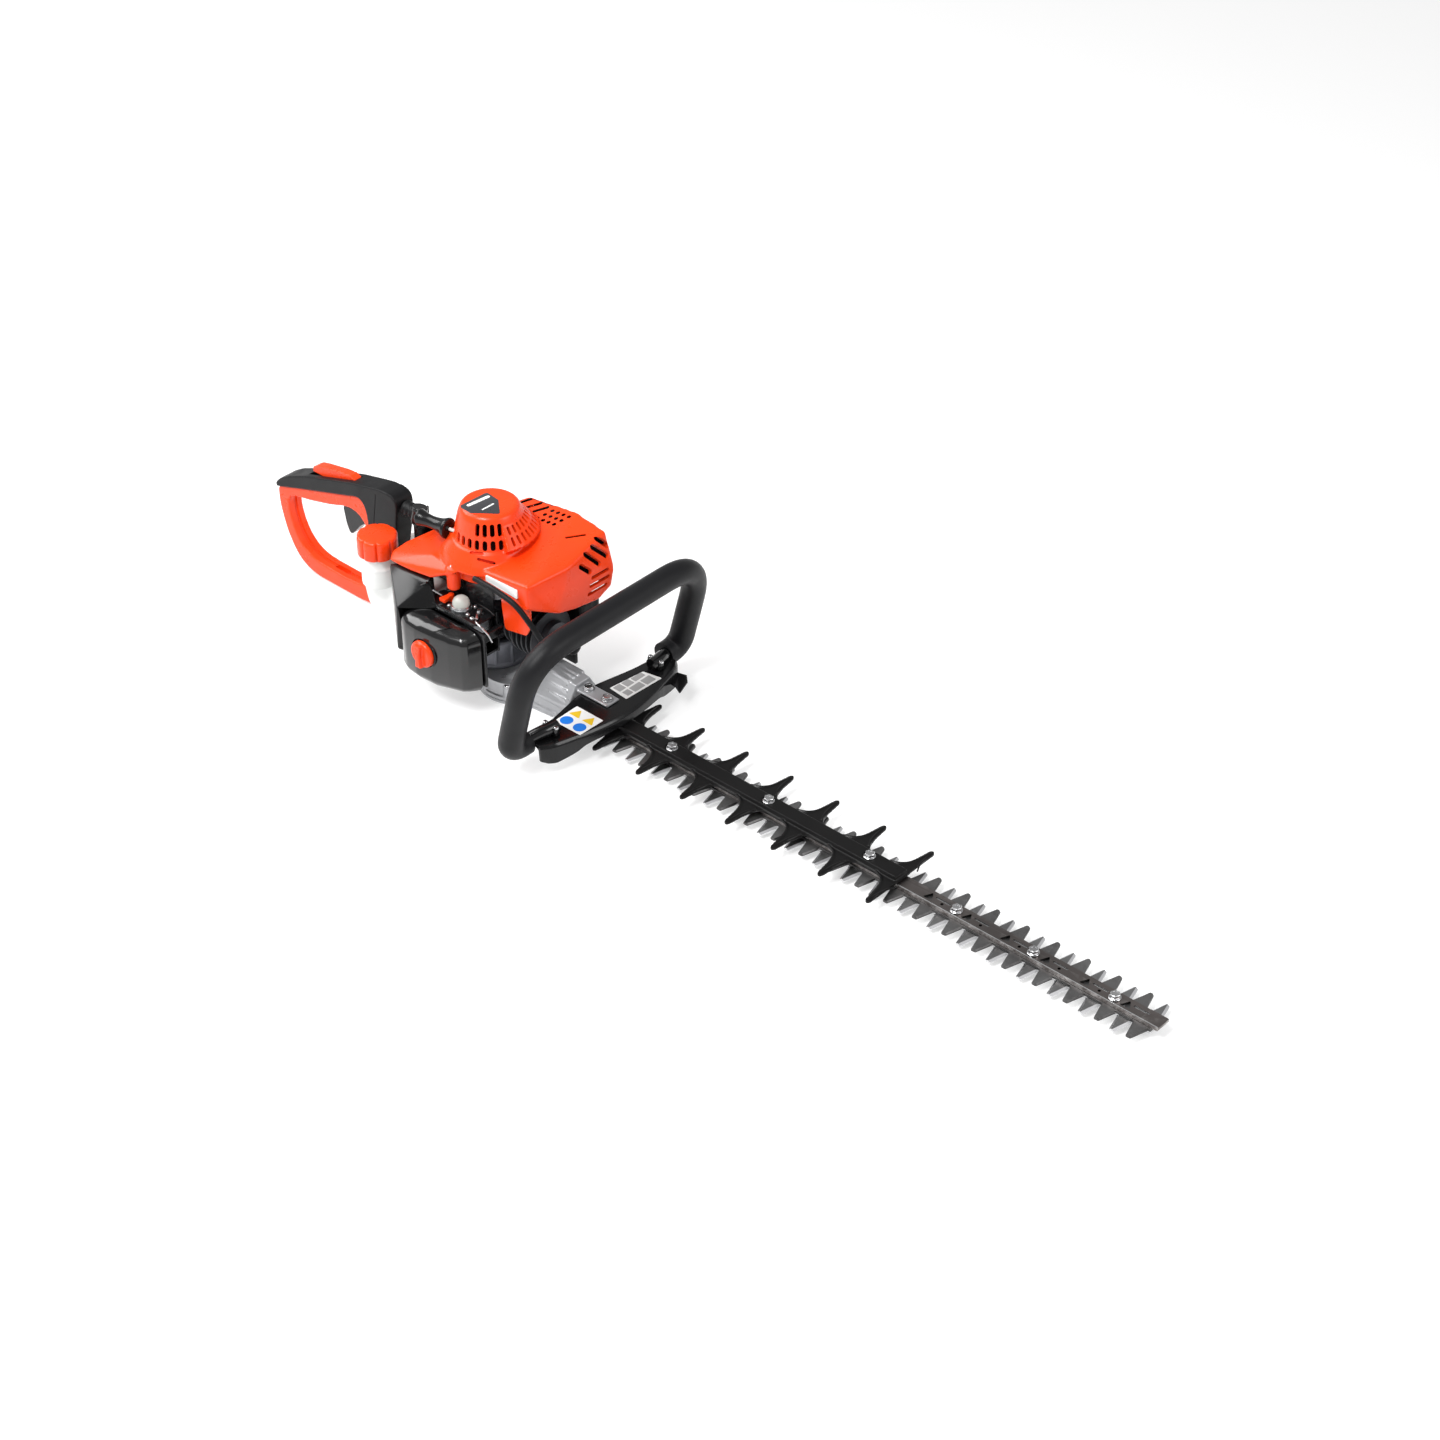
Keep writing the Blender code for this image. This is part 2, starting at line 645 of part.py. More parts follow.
WING_FOOT = (
    (-0.1300, -0.0550, 0.1345), (-0.1034, -0.0560, 0.1365), (-0.0740, -0.0560, 0.1405), (-0.1200, 0.0,
                                                                                         0.1350),
    (-0.0560, -0.0480, 0.1500),
)
DOME = ((0.0430, 0.1450), (0.0430, 0.1640), (0.0385, 0.1760), (0.0360, 0.1920), (0.0335, 0.2050),
        (0.0305, 0.2145),
        (0.0270, 0.2170))
COVER_WALL = 0.0028


def shrunk(points, wall):
    """The same points moved towards their middle by about one wall."""
    middle = sum((Vector(p) for p in points), Vector()) / len(points)
    moved = []
    for p in points:
        away = Vector(p) - middle
        moved.append(middle + away * (1 - 1.6 * wall / away.length))
    return moved


def make_engine_cover():
    cover = hull("engine_cover", COVER_TOP + COVER_FOOT, orange())
    union(cover, revolve("dome", DOME, (CRANK_X, 0.0, 0.0), orange(), steps=28))
    union(cover, hull("wing", WING + WING_FOOT, orange()))
    union(cover, revolve("boss", [(0.0070, 0.1350), (0.0070, 0.1600)], (-0.0520, -0.0480, 0.0), orange(),
                         steps=12))
    core = shrunk(COVER_TOP, COVER_WALL) + [Vector((x * 0.94, y * 0.93, z - 0.02)) for x, y,
                                            z in COVER_FOOT]
    cut_away(cover, hull("cutter", core, black()))
    inner_dome = [(radius - COVER_WALL, height - COVER_WALL) for radius, height in DOME]
    cut_away(cover, revolve("cutter", inner_dome, (CRANK_X, 0.0, 0.0), black(), steps=28))
    wing_core = shrunk(WING, COVER_WALL) + [Vector((x + 0.004, y * 0.92, z - 0.012)) for x, y,
                                            z in WING_FOOT]
    cut_away(cover, hull("cutter", wing_core, black()))
    rope_from = ROPE_START - PULL_AXIS * 0.030
    rope_to = ROPE_START + PULL_AXIS * 0.010
    cut_away(cover, rod("cutter", rope_from, rope_to, 0.0040, black(), 10))
    return union(cover, prism("skirt", COVER_SKIRT, *SKIRT_Y, orange(), plane="XZ"),
                 box("shelf", (0.0, -0.0412, 0.1475), (0.0450, SKIRT_Y[0] + 0.001, 0.1495), orange()))


PULL_AXIS = Vector((-0.993, -0.119, 0.0)).normalized()
ROPE_START = Vector((-0.0770, -0.0225, 0.1800))
ROPE_LENGTH = 0.0280
GRIP_GAP = 0.0045
GRIP_PROFILE = ((0.0105, 0.0), (0.0112, 0.0030), (0.0085, 0.0100), (0.0062, 0.0200), (0.0072, 0.0330),
                (0.0090, 0.0380), (0.0075, 0.0400))


def make_starter():
    rope_end = ROPE_START + PULL_AXIS * GRIP_GAP
    rod("starter_rope", rope_end - PULL_AXIS * ROPE_LENGTH, rope_end - PULL_AXIS * GAP, 0.0018, white(), 8)
    revolve("starter_grip", GRIP_PROFILE, rope_end, black(), PULL_AXIS, steps=20)


def make_intake():
    carb = rounded_box("carburetor", (-0.0560, -0.0620, 0.0880), (-0.0120, -0.0380, 0.1170), 0.004,
                       cast(), 2)
    cut_away(carb, rod("cutter", (-0.0260, -0.0630, 0.1010), (-0.0260, -0.0370, 0.1010), 0.0065, black(),
                       14))
    union(carb, revolve("primer_seat", [(0.0109, 0.1150), (0.0109, 0.1225)], (-0.0380, -0.0525, 0.0),
                        cast(), steps=20))
    cut_away(carb, cylinder_cutter(-0.0380, -0.0525, 0.1172, 0.1300, 0.0094, 20))
    manifold = revolve("intake_manifold", [(0.0090, 0.0), (0.0110, 0.0020), (0.0080, 0.0070)],
                       (-0.0260, -0.0377, 0.1010), rubber(), (0, 1, 0), steps=14)
    cut_away(manifold, rod("cutter", (-0.0260, -0.040, 0.1010), (-0.0260, -0.028, 0.1010), 0.0060,
                           black(), 12))
    revolve("primer_bulb", [(0.0090, 0.0), (0.0090, 0.0030), (0.0082, 0.0065), (0.0060, 0.0092),
                            (0.0030, 0.0103)],
            (-0.0380, -0.0525, 0.1220), clear(), steps=18)
    lever = rod("choke_lever", (-0.0560, -0.0490, 0.1173), (-0.0560, -0.0490, 0.1260), 0.0032, orange(), 12,
                origin=(-0.0560, -0.0490, 0.1173))
    union(lever, prism("tab", [(-0.0585, -0.0500), (-0.0545, -0.0500), (-0.0520, -0.0620),
                               (-0.0610, -0.0620)],
                       0.1215, 0.1255, orange()))
    arm = rod("throttle_lever", (-0.0170, -0.0470, 0.1173), (-0.0170, -0.0470, 0.1240), 0.0028, steel(), 12,
              origin=(-0.0170, -0.0470, 0.1173))
    union(arm, prism("tab", [(-0.0190, -0.0490), (-0.0150, -0.0490), (-0.0080, -0.0580),
                             (-0.0110, -0.0600)],
                     0.1200, 0.1220, steel()))


def make_baffle():
    """Wall between the carburettor and the crankcase, stepped out round the flywheel, on a tray from the plate."""
    section = [(-0.0325, 0.0690), (-0.0305, 0.0690), (-0.0305, 0.1185), (-0.0350, 0.1185),
               (-0.0350, 0.1460),
               (-0.0370, 0.1460), (-0.0370, 0.1165), (-0.0325, 0.1165)]
    wall = prism("baffle", section, -0.0660, -0.0080, black(), plane="YZ")
    cut_away(wall, rod("cutter", (-0.0260, -0.0400, 0.1010), (-0.0260, -0.0280, 0.1010), 0.0115, black(),
                       20))
    return union(wall, box("tray", (-0.0600, -0.0630, 0.0690), (-0.0100, -0.0310, 0.0715), black()))


FILTER_X = (-0.0920, 0.0045)
FILTER_Y = (-0.0970, -0.0680)
FILTER_Z = (0.0400, 0.1120)
KNOB_CENTRE = (-0.0500, -0.0950, 0.0800)


def filter_cover_outline(inset):
    """Front face bulges out: the outline in XY, seen from above."""
    left = FILTER_X[0] + inset
    right = FILTER_X[1] - inset
    outer = FILTER_Y[0] + inset
    inner = FILTER_Y[1]
    return [(left, inner), (left, outer + 0.014), (left + 0.004, outer + 0.006),
            (left + 0.014, outer + 0.0015),
            (left + 0.030, outer), (left + 0.050, outer + 0.0015), (right - 0.0245, outer + 0.0065),
            (right - 0.0105, outer + 0.0115), (right - 0.0060, outer + 0.0160), (right, inner)]


def make_air_filter():
    low, high = FILTER_Z
    rings = []
    for z, inset in ((low, 0.010), (low + 0.003, 0.004), (low + 0.010, 0.0), (high - 0.012, 0.0),
                     (high - 0.004, 0.003), (high, 0.011)):
        rings.append([(x, y, z) for x, y in filter_cover_outline(inset)])
    cover = loft("air_filter_cover", rings, black())
    inner = []
    for z, inset in ((low + 0.0035, 0.0075), (low + 0.010, 0.0035), (high - 0.012, 0.0035),
                     (high - 0.0035, 0.0095)):
        ring = filter_cover_outline(inset)
        ring = [(ring[0][0], FILTER_Y[1] + 0.002)] + ring[1:-1] + [(ring[-1][0], FILTER_Y[1] + 0.002)]
        inner.append([(x, y, z) for x, y in ring])
    cut_away(cover, loft("cutter", inner, black()))
    recess_y = FILTER_Y[0] + 0.0015
    cut_away(cover, rod("cutter", (KNOB_CENTRE[0], -0.110, KNOB_CENTRE[2]),
                        (KNOB_CENTRE[0], recess_y, KNOB_CENTRE[2]),
                        0.0165, black(), 24))
    cut_away(cover, rod("cutter", (KNOB_CENTRE[0], -0.110, KNOB_CENTRE[2]),
                        (KNOB_CENTRE[0], -0.085, KNOB_CENTRE[2]),
                        0.0033, black(), 12))
    knob_base = (KNOB_CENTRE[0], recess_y - GAP, KNOB_CENTRE[2])
    knob = revolve("air_filter_knob", [(0.0150, 0.0), (0.0150, 0.0040), (0.0130, 0.0055)], knob_base,
                   orange(),
                   (0, -1, 0), steps=24)
    union(knob, box("grip", (KNOB_CENTRE[0] - 0.0025, recess_y - 0.0110, KNOB_CENTRE[2] - 0.0125),
                    (KNOB_CENTRE[0] + 0.0025, recess_y - 0.0030, KNOB_CENTRE[2] + 0.0125), orange()))
    union(knob, rod("stem", (KNOB_CENTRE[0], recess_y - 0.001, KNOB_CENTRE[2]),
                    (KNOB_CENTRE[0], -0.0860, KNOB_CENTRE[2]), 0.0030, orange(), 12))

    box("air_filter_element", (-0.0740, -0.0780, 0.0570), (-0.0090, -0.0660, 0.1010), rubber())
    case = hull("air_filter_case", (
        (-0.1340, -0.0600, 0.1300), (-0.0760, -0.0620, 0.1300), (-0.1150, -0.0450, 0.1300),
        (-0.0620, -0.0640, 0.1150), (-0.0620, -0.0655, 0.0480), (-0.1010, -0.0660, 0.0480),
        (-0.1010, -0.0860, 0.0560), (-0.1010, -0.0860, 0.1080), (-0.0930, -0.0600, 0.0560),
        (-0.0930, -0.0900, 0.1120)), black())
    cut_away(case, box("cutter", (FILTER_X[0] - GAP, -0.110, 0.038),
                       (0.0, FILTER_Y[1] + GAP + 0.0022, 0.1123),
                       black()))
    union(case, box("plate", (-0.0920, -0.0655, 0.0480), (0.0070, -0.0625, 0.1120), black()))
    union(case, box("arm", (0.0005, -0.0635, 0.1010), (0.0070, -0.0385, 0.1110), black()))
    union(case, make_baffle())
    cut_away(case, rod("cutter", (-0.0260, -0.0700, 0.1010), (-0.0260, -0.0600, 0.1010), 0.0065, black(),
                       14))
    cut_away(case, box("cutter", (-0.0750, -0.0665, 0.0560), (-0.0050, -0.0655, 0.1020), black()))


DEFLECTOR = (
    (-0.0090, 0.0777), (0.0520, 0.0777), (0.0470, 0.0735), (0.0320, 0.0615), (0.0140, 0.0475), (-0.0090,
                                                                                                0.0475),
)
DEFLECTOR_Y = (0.0330, 0.0600)
DEFLECTOR_FIN = ((-0.0020, 0.0480, 0.0240), (0.0205, 0.0520, 0.0500))


def make_exhaust():
    muffler = rounded_box("muffler", (-0.0100, 0.0320, 0.0780), (0.0480, 0.0610, 0.1180), 0.006,
                          dark_steel(), 2)
    cut_away(muffler, rounded_box("cutter", (-0.0080, 0.0340, 0.0800), (0.0460, 0.0590, 0.1160), 0.004,
                                  black(), 2))
    cut_away(muffler, rod("cutter", (0.0200, 0.0430, 0.0700), (0.0200, 0.0430, 0.0820), 0.0050, black(),
                          12))
    deflector = hull("exhaust_deflector", [(x, y, z) for y in DEFLECTOR_Y for x, z in DEFLECTOR], black())
    union(deflector, box("fin", *DEFLECTOR_FIN, black()))


def make_ignition():
    box("ignition_coil", (-0.0600, 0.0370, 0.1215), (-0.0360, 0.0500, 0.1380), black())
    plug = revolve("spark_plug", [(0.0050, 0.0), (0.0050, 0.0040), (0.0080, 0.0040), (0.0080, 0.0090),
                                  (0.0040, 0.0090), (0.0040, 0.0200)],
                   (HEAD_X + GAP, 0.0, CYLINDER_Z), steel(), (1, 0, 0), steps=12)
    boot = revolve("plug_boot", [(0.0075, 0.0), (0.0085, 0.0080), (0.0085, 0.0140), (0.0050, 0.0170)],
                   (HEAD_X + 0.0096, 0.0, CYLINDER_Z), rubber(), (1, 0, 0), steps=14)
    cut_away(boot, rod("cutter", (HEAD_X + 0.008, 0.0, CYLINDER_Z), (HEAD_X + 0.0206, 0.0, CYLINDER_Z),
                       0.0043,
                       black(), 12))
    boot_x = HEAD_X + 0.0200
    route = [(-0.0230, -0.0465, 0.1580), (0.0100, -0.0480, 0.1580), (0.0340, -0.0455, 0.1500),
             (0.0520, -0.0400, 0.1280),
             (0.0610, -0.0310, 0.1040), (boot_x - 0.001, -0.0190, 0.0950), (boot_x, -0.0095, CYLINDER_Z)]
    swept_tube("ignition_lead", smooth_route(route), 0.0030, rubber())
    return plug


# ---- Fuel ----------------------------------------------------------------------------------------

TANK_X = (-0.2060, -0.1050)
TANK_Z = (0.0280, 0.0990)
TANK_HALF_WIDTH = 0.0450
TANK_BELLY_RADIUS = 0.0300
TANK_REAR_LEAN = 0.24
NECK = (-0.1680, -0.0450)


def tank_section(x, inset, lean):
    """Cross-section at one station: a round belly below, tighter corners on top."""
    half = TANK_HALF_WIDTH - inset
    low = TANK_Z[0] + inset
    high = TANK_Z[1] - inset
    ring = []
    for side_y, z, radius, start in ((1, low, TANK_BELLY_RADIUS - inset, -90), (1, high, 0.0140 - inset, 0),
                                     (-1, high, 0.0140 - inset, 90), (-1, low, TANK_BELLY_RADIUS - inset,
                                                                      180)):
        centre_y = side_y * (half - radius)
        centre_z = z + radius if z == low else z - radius
        for i in range(6):
            angle = radians(start + 90 * i / 5)
            point_z = centre_z + radius * sin(angle)
            ring.append((x + lean * (TANK_Z[1] - point_z), centre_y + radius * cos(angle), point_z))
    return ring


def tank_body(name, wall, finish):
    rings = []
    for step, inset in ((0.0, 0.0090), (0.0015, 0.0050), (0.0045, 0.0020), (0.0100, 0.0)):
        rings.append(tank_section(TANK_X[0] + wall + step, wall + inset, TANK_REAR_LEAN))
    for step, inset in ((0.0100, 0.0), (0.0045, 0.0020), (0.0015, 0.0050), (0.0, 0.0090)):
        rings.append(tank_section(TANK_X[1] - wall - step, wall + inset, 0.0))
    return loft(name, rings, finish)


def make_tank():
    tank = tank_body("fuel_tank", 0.0, white())
    union(tank, revolve("neck", [(0.0185, 0.0900), (0.0185, 0.1060), (0.0165, 0.1120), (0.0165, 0.1240)],
                        (*NECK, 0.0), white(), steps=24))
    cut_away(tank, tank_body("cutter", 0.0025, black()))
    return cut_away(tank, cylinder_cutter(*NECK, 0.0900, 0.1300, 0.0120, 20))


def make_cap():
    """Eight-lobed cap with a plug that goes down into the neck."""
    steps = 48
    rings = []
    levels = ((0.0105, 0.1120, 0.0), (0.0105, 0.1245, 0.0), (0.0195, 0.1245, 0.5), (0.0205, 0.1265, 1.0),
              (0.0205, 0.1450, 1.0), (0.0190, 0.1475, 0.6))
    for radius, z, lobes in levels:
        ring = []
        for i in range(steps):
            angle = 2 * pi * i / steps
            reach = radius + 0.0008 * lobes * cos(8 * angle)
            ring.append((NECK[0] + reach * cos(angle), NECK[1] + reach * sin(angle), z))
        rings.append(ring)
    loft("fuel_cap", rings, orange(), (*NECK, 0.1120))


def make_fuel():
    make_tank()
    make_cap()
    route = [(-0.1040, -0.0300, 0.0600), (-0.0950, -0.0330, 0.0620), (-0.0860, -0.0400, 0.0700),
             (-0.0750, -0.0470, 0.0820), (-0.0580, -0.0500, 0.0960)]
    swept_tube("fuel_hose", smooth_route(route), 0.0025, rubber())


# ---- Rear handle ---------------------------------------------------------------------------------

LIMB_OUTLINE = (
    (-0.1950, 0.0255), (-0.1950, 0.0277), (-0.2063, 0.0277), (-0.2120, 0.0380), (-0.2200,
                                                                                 0.0440), (-0.2300, 0.0400),
    (-0.2440, 0.0325), (-0.2676, 0.0317), (-0.2954, 0.0323), (-0.3113, 0.0333), (-0.3268,
                                                                                 0.0390), (-0.3380, 0.0500),
    (-0.3450, 0.0640), (-0.3490, 0.0780), (-0.3500, 0.0920), (-0.3463, 0.1010), (-0.3380,
                                                                                 0.1040), (-0.3138, 0.1088),
    (-0.2815, 0.1171), (-0.2614, 0.1242), (-0.2495, 0.1269), (-0.2381, 0.1250), (-0.2300,
                                                                                 0.1190), (-0.2240, 0.1080),
    (-0.2215, 0.1003), (-0.1870, 0.1003), (-0.1870, 0.1140), (-0.2202, 0.1150), (-0.2205,
                                                                                 0.1224), (-0.2220, 0.1339),
    (-0.2250, 0.1418), (-0.2302, 0.1466), (-0.2378, 0.1465), (-0.2478, 0.1430), (-0.2959,
                                                                                 0.1281), (-0.3286, 0.1179),
    (-0.3649, 0.1060), (-0.3655, 0.0964), (-0.3640, 0.0812), (-0.3606, 0.0668), (-0.3556,
                                                                                 0.0513), (-0.3481, 0.0370),
    (-0.3395, 0.0254), (-0.3244, 0.0167), (-0.3087, 0.0140), (-0.2454, 0.0135), (-0.2237,
                                                                                 0.0160), (-0.2100, 0.0210),
)
GRIP_OUTLINE = (
    (-0.3649, 0.1064), (-0.3286, 0.1183), (-0.2959, 0.1285), (-0.2478, 0.1434), (-0.2378,
                                                                                 0.1469), (-0.2300, 0.1470),
    (-0.2247, 0.1421), (-0.2216, 0.1340), (-0.2201, 0.1225), (-0.2199, 0.1153), (-0.1867,
                                                                                 0.1143), (-0.1867, 0.1003),
    (-0.1820, 0.1003), (-0.1760, 0.1300), (-0.1725, 0.1600), (-0.1740, 0.1670), (-0.1790,
                                                                                 0.1710), (-0.1860, 0.1722),
    (-0.2006, 0.1711), (-0.2161, 0.1677), (-0.2445, 0.1611), (-0.3170, 0.1387), (-0.3452,
                                                                                 0.1270), (-0.3600, 0.1180),
    (-0.3660, 0.1110),
)
TRIGGER_PIVOT = (-0.2400, 0.0, 0.1165)
LOCKOUT_PIVOT = (-0.2500, 0.0, 0.1520)


def make_rear_handle():
    trigger_slot = [(-0.2700, 0.0900), (-0.2260, 0.0900), (-0.2260, 0.1240), (-0.2400, 0.1275),
                    (-0.2560, 0.1340),
                    (-0.2700, 0.1320)]
    for name, low, high in (("rear_handle_right", -REAR_HALF_WIDTH, -GAP / 2),
                            ("rear_handle_left", GAP / 2, REAR_HALF_WIDTH)):
        shell = prism(name, LIMB_OUTLINE, low, high, orange(), plane="XZ")
        cut_away(shell, prism("cutter", trigger_slot, -0.0060, 0.0060, black(), plane="XZ"))
    grip = prism("rear_grip", GRIP_OUTLINE, -GRIP_HALF_WIDTH, GRIP_HALF_WIDTH, rubber(), plane="XZ")
    lockout_slot = [(-0.3160, 0.1330), (-0.2960, 0.1330), (-0.2420, 0.1500), (-0.2420, 0.1800),
                    (-0.3160, 0.1800)]
    cut_away(grip, prism("cutter", lockout_slot, -0.0056, 0.0056, black(), plane="XZ"))

    trigger = prism("throttle_trigger", [(-0.2655, 0.1215), (-0.2641, 0.1133), (-0.2623, 0.1031),
                                         (-0.2593, 0.0950),
                                         (-0.2568, 0.0907), (-0.2528, 0.0915), (-0.2461,
                                                                                0.0992), (-0.2396, 0.1070),
                                         (-0.2320, 0.1125), (-0.2325, 0.1190), (-0.2400,
                                                                                0.1228), (-0.2530, 0.1245)],
                    -0.0054, 0.0054, black(), plane="XZ", origin=TRIGGER_PIVOT)
    lockout = prism("throttle_lockout", [(-0.3100, 0.1450), (-0.2900, 0.1450), (-0.2500, 0.1535),
                                         (-0.2440, 0.1560),
                                         (-0.2434, 0.1612), (-0.2500, 0.1640), (-0.2628,
                                                                                0.1630), (-0.2903, 0.1580),
                                         (-0.3024, 0.1550), (-0.3090, 0.1510)],
                    -0.0050, 0.0050, orange(), plane="XZ", origin=LOCKOUT_PIVOT)
    switch = box("stop_switch", (-0.2010, GRIP_HALF_WIDTH + GAP, 0.1430),
                 (-0.1890, GRIP_HALF_WIDTH + 0.0035, 0.1500), orange())
    return trigger, lockout, switch


def make_mounts():
    profile = [(0.0070, 0.0), (0.0090, 0.0020), (0.0075, 0.0100), (0.0090, 0.0190), (0.0070, 0.0210)]
    revolve("vibration_mount_upper", profile, (-0.1715, 0.0, 0.1560), rubber(), (1, 0, 0), steps=16)
    bracket = box("mount_bracket", (-0.1502, -0.0110, 0.0700), (-0.1472, 0.0110, 0.1640), black())
    union(bracket, box("foot", (-0.1482, -0.0110, 0.1004), (-0.0990, 0.0110, 0.1040), black()))
    union(bracket, box("toe", (-0.1020, -0.0110, 0.0900), (-0.0753, 0.0110, 0.1040), black()))
    cut_away(bracket, box("cutter", (-0.1510, -0.0160, 0.0600), (-0.1040, 0.0160, 0.1001), black()))
    for side, name in ((-1, "right"), (1, "left")):
        revolve(f"vibration_mount_{name}", [(0.0085, 0.0), (0.0070, 0.0080), (0.0085, 0.0160)],
                (-0.1047, side * 0.0200, 0.0550), rubber(), (1, 0, 0), steps=16)


def make_throttle_cable():
    route = [(-0.1690, 0.0120, 0.1380), (-0.1560, 0.0190, 0.1360), (-0.1300, 0.0180, 0.1250),
             (-0.1060, 0.0060, 0.1160),
             (-0.0900, -0.0150, 0.1110), (-0.0780, -0.0330, 0.1130), (-0.0620, -0.0440, 0.1190)]
    swept_tube("throttle_cable", smooth_route(route), 0.0022, rubber())


# ---- Front handle and hand guard -----------------------------------------------------------------

def make_front_handle():
    knots = []
    for side in (-1, 1):
        leg = [(LOOP_FOOT[0], side * LOOP_END_Y, LOOP_FOOT[1]),
               (LOOP_FOOT[0], side * LOOP_HALF_WIDTH, LOOP_FOOT[1]),
               (LOOP_TOP[0], side * LOOP_HALF_WIDTH, LOOP_TOP[1])]
        knots += leg if side == -1 else list(reversed(leg))
    path = round_corners(knots, (0.018, 0.055, 0.055, 0.018), 7)
    return swept_tube("front_handle", path, LOOP_TUBE_RADIUS, rubber(), 3)


def make_hand_guard():
    """Top plate with an apron that turns down in front, narrower towards both ends."""
    stations = (
        (0.0995, 0.0965, 0.1175, 0.0290), (0.0930, 0.0955, 0.1225, 0.0255), (0.0850, 0.0945, 0.1260,
                                                                             0.0240),
        (0.0640, 0.0925, 0.1320, 0.0280), (0.0530, 0.0910, 0.1350, 0.0335), (0.0300, 0.0860, 0.1400,
                                                                             0.0350),
        (0.0120, 0.0825, 0.1420, 0.0360),
    )
    top, sheet = GUARD_TOP_Z, 0.0030
    rings = []
    for y, rear, front, foot in [(-s[0], *s[1:]) for s in stations] + list(reversed(stations)):
        rings.append([(rear, y, top), (front - 0.006, y, top), (front - 0.001, y, top - 0.004),
                      (front, y, foot),
                      (front - sheet, y, foot), (front - 0.004, y, top - 0.0055), (front - 0.007, y,
                                                                                   top - sheet),
                      (rear, y, top - sheet)])
    return loft("hand_guard", rings, black())


def make_clamp_bolts():
    for i, x in enumerate(CLAMP_BOLTS_X):
        make_clamp_bolt(f"clamp_bolt_{i + 1}", x, CLAMP_Z[1] + GAP)


def make_clamp_bolt(name, x, head_z):
    bolt = revolve(name, [(0.0029, head_z - 0.0030), (0.0029, head_z + 0.001)], (x, 0.0, 0.0), steel(),
                   steps=12)
    return union(bolt, revolve("head", [(0.0060, head_z), (0.0060, head_z + 0.0034),
                                        (0.0048, head_z + 0.0042)],
                               (x, 0.0, 0.0), steel(), steps=6))


def lower_onto_datum():
    """Put the origin on the flat underside of the gear case."""
    for obj in bpy.data.objects:
        obj.location.z -= CASE_LOW_Z


def main():
    clear_scene()
    make_cutter()
    make_drive_gear()
    make_clutch_drum()
    make_clutch_hub()
    make_crankshaft()
    make_flywheel()
    make_crankcase()
    make_cylinder()
    make_piston()
    make_recoil_reel()
    make_clutch_housing()
    make_gear_case()
    make_engine_cover()
    make_starter()
    make_intake()
    make_air_filter()
    make_exhaust()
    make_ignition()
    make_fuel()
    make_rear_handle()
    make_mounts()
    make_throttle_cable()
    make_front_handle()
    make_hand_guard()
    make_clamp_bolts()
    lower_onto_datum()


main()
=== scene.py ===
"""The looks of a petrol hedge trimmer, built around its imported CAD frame.

Lengths are in metres, in the frame's axes. Heights are written from a level that lies LEVEL below the flat
underside of the gear case, and settle() lowers each finished piece by that much.
"""
import json
from math import cos, pi, radians, sin

import bmesh
import bpy
from mathutils import Matrix, Vector


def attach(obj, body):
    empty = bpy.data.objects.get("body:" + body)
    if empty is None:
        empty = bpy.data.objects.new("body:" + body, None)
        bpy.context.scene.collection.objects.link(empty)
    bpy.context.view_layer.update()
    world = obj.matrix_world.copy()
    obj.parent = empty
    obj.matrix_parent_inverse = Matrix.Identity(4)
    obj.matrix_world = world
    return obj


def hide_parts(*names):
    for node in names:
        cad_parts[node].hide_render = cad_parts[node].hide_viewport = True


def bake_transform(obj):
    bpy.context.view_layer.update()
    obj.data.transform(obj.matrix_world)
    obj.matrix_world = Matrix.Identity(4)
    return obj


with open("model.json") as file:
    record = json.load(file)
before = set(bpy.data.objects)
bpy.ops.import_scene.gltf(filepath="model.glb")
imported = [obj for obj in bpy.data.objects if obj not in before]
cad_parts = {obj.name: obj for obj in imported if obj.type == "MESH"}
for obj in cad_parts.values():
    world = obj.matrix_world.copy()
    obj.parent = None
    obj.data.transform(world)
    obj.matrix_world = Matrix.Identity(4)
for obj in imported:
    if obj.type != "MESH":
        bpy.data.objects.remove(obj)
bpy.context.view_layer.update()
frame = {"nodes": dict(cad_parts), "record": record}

LEVEL = 0.012
GAP = 0.0003
RELAX_FACTOR = 0.5
BLOTCH_SCALE = 14.0

# Driving sizes, the same as the CAD model's
TOOTH_PITCH = 0.035
TEETH_PER_SIDE = 19
FIRST_TOOTH_X = 0.78
BLADE_HALF_WIDTH = 0.0106
TOOTH_REACH = 0.0305
BLADE_X = (0.1003, 0.7905)
LOWER_BLADE_Z = (0.0165, 0.0192)
UPPER_BLADE_Z = (0.0195, 0.022)
BAR_Z = (0.0223, 0.0265)
BAR_X = (0.06, 0.7965)
BAR_HALF_WIDTH = 0.009
BAR_PLATE = 0.0026
BAR_GROOVE_FLOOR = 0.0016
STROKE_HALF = TOOTH_PITCH / 4
BAR_BOLTS_X = (0.7433, 0.6513, 0.5615)
BAR_PATTERN = 0.0909
GUARD_BOLTS_X = (0.456, 0.3285, 0.201)
GUARD_X = (0.095, 0.493)
GUARD_LOW_Z = 0.0268
GUARD_RIDGE_TOP = 0.034
GUARD_TOOTH_PITCH = 0.0589
GUARD_TEETH_X = [0.14 + n * GUARD_TOOTH_PITCH for n in range(7)]
CRANK = (-0.045, 0.0)
CYLINDER_Z = 0.093
PAN_X = -0.0135
PAN_RADIUS = 0.043
CASE_Z = (0.012, 0.0158, 0.036)
TONGUE_END_X = 0.079
EAR_ANGLES = (62, 104, 146, 214, 256, 298)
EAR_REACH = 0.0405
GUARD_TOP_Z = 0.047
HEAD_TURN = radians(17)
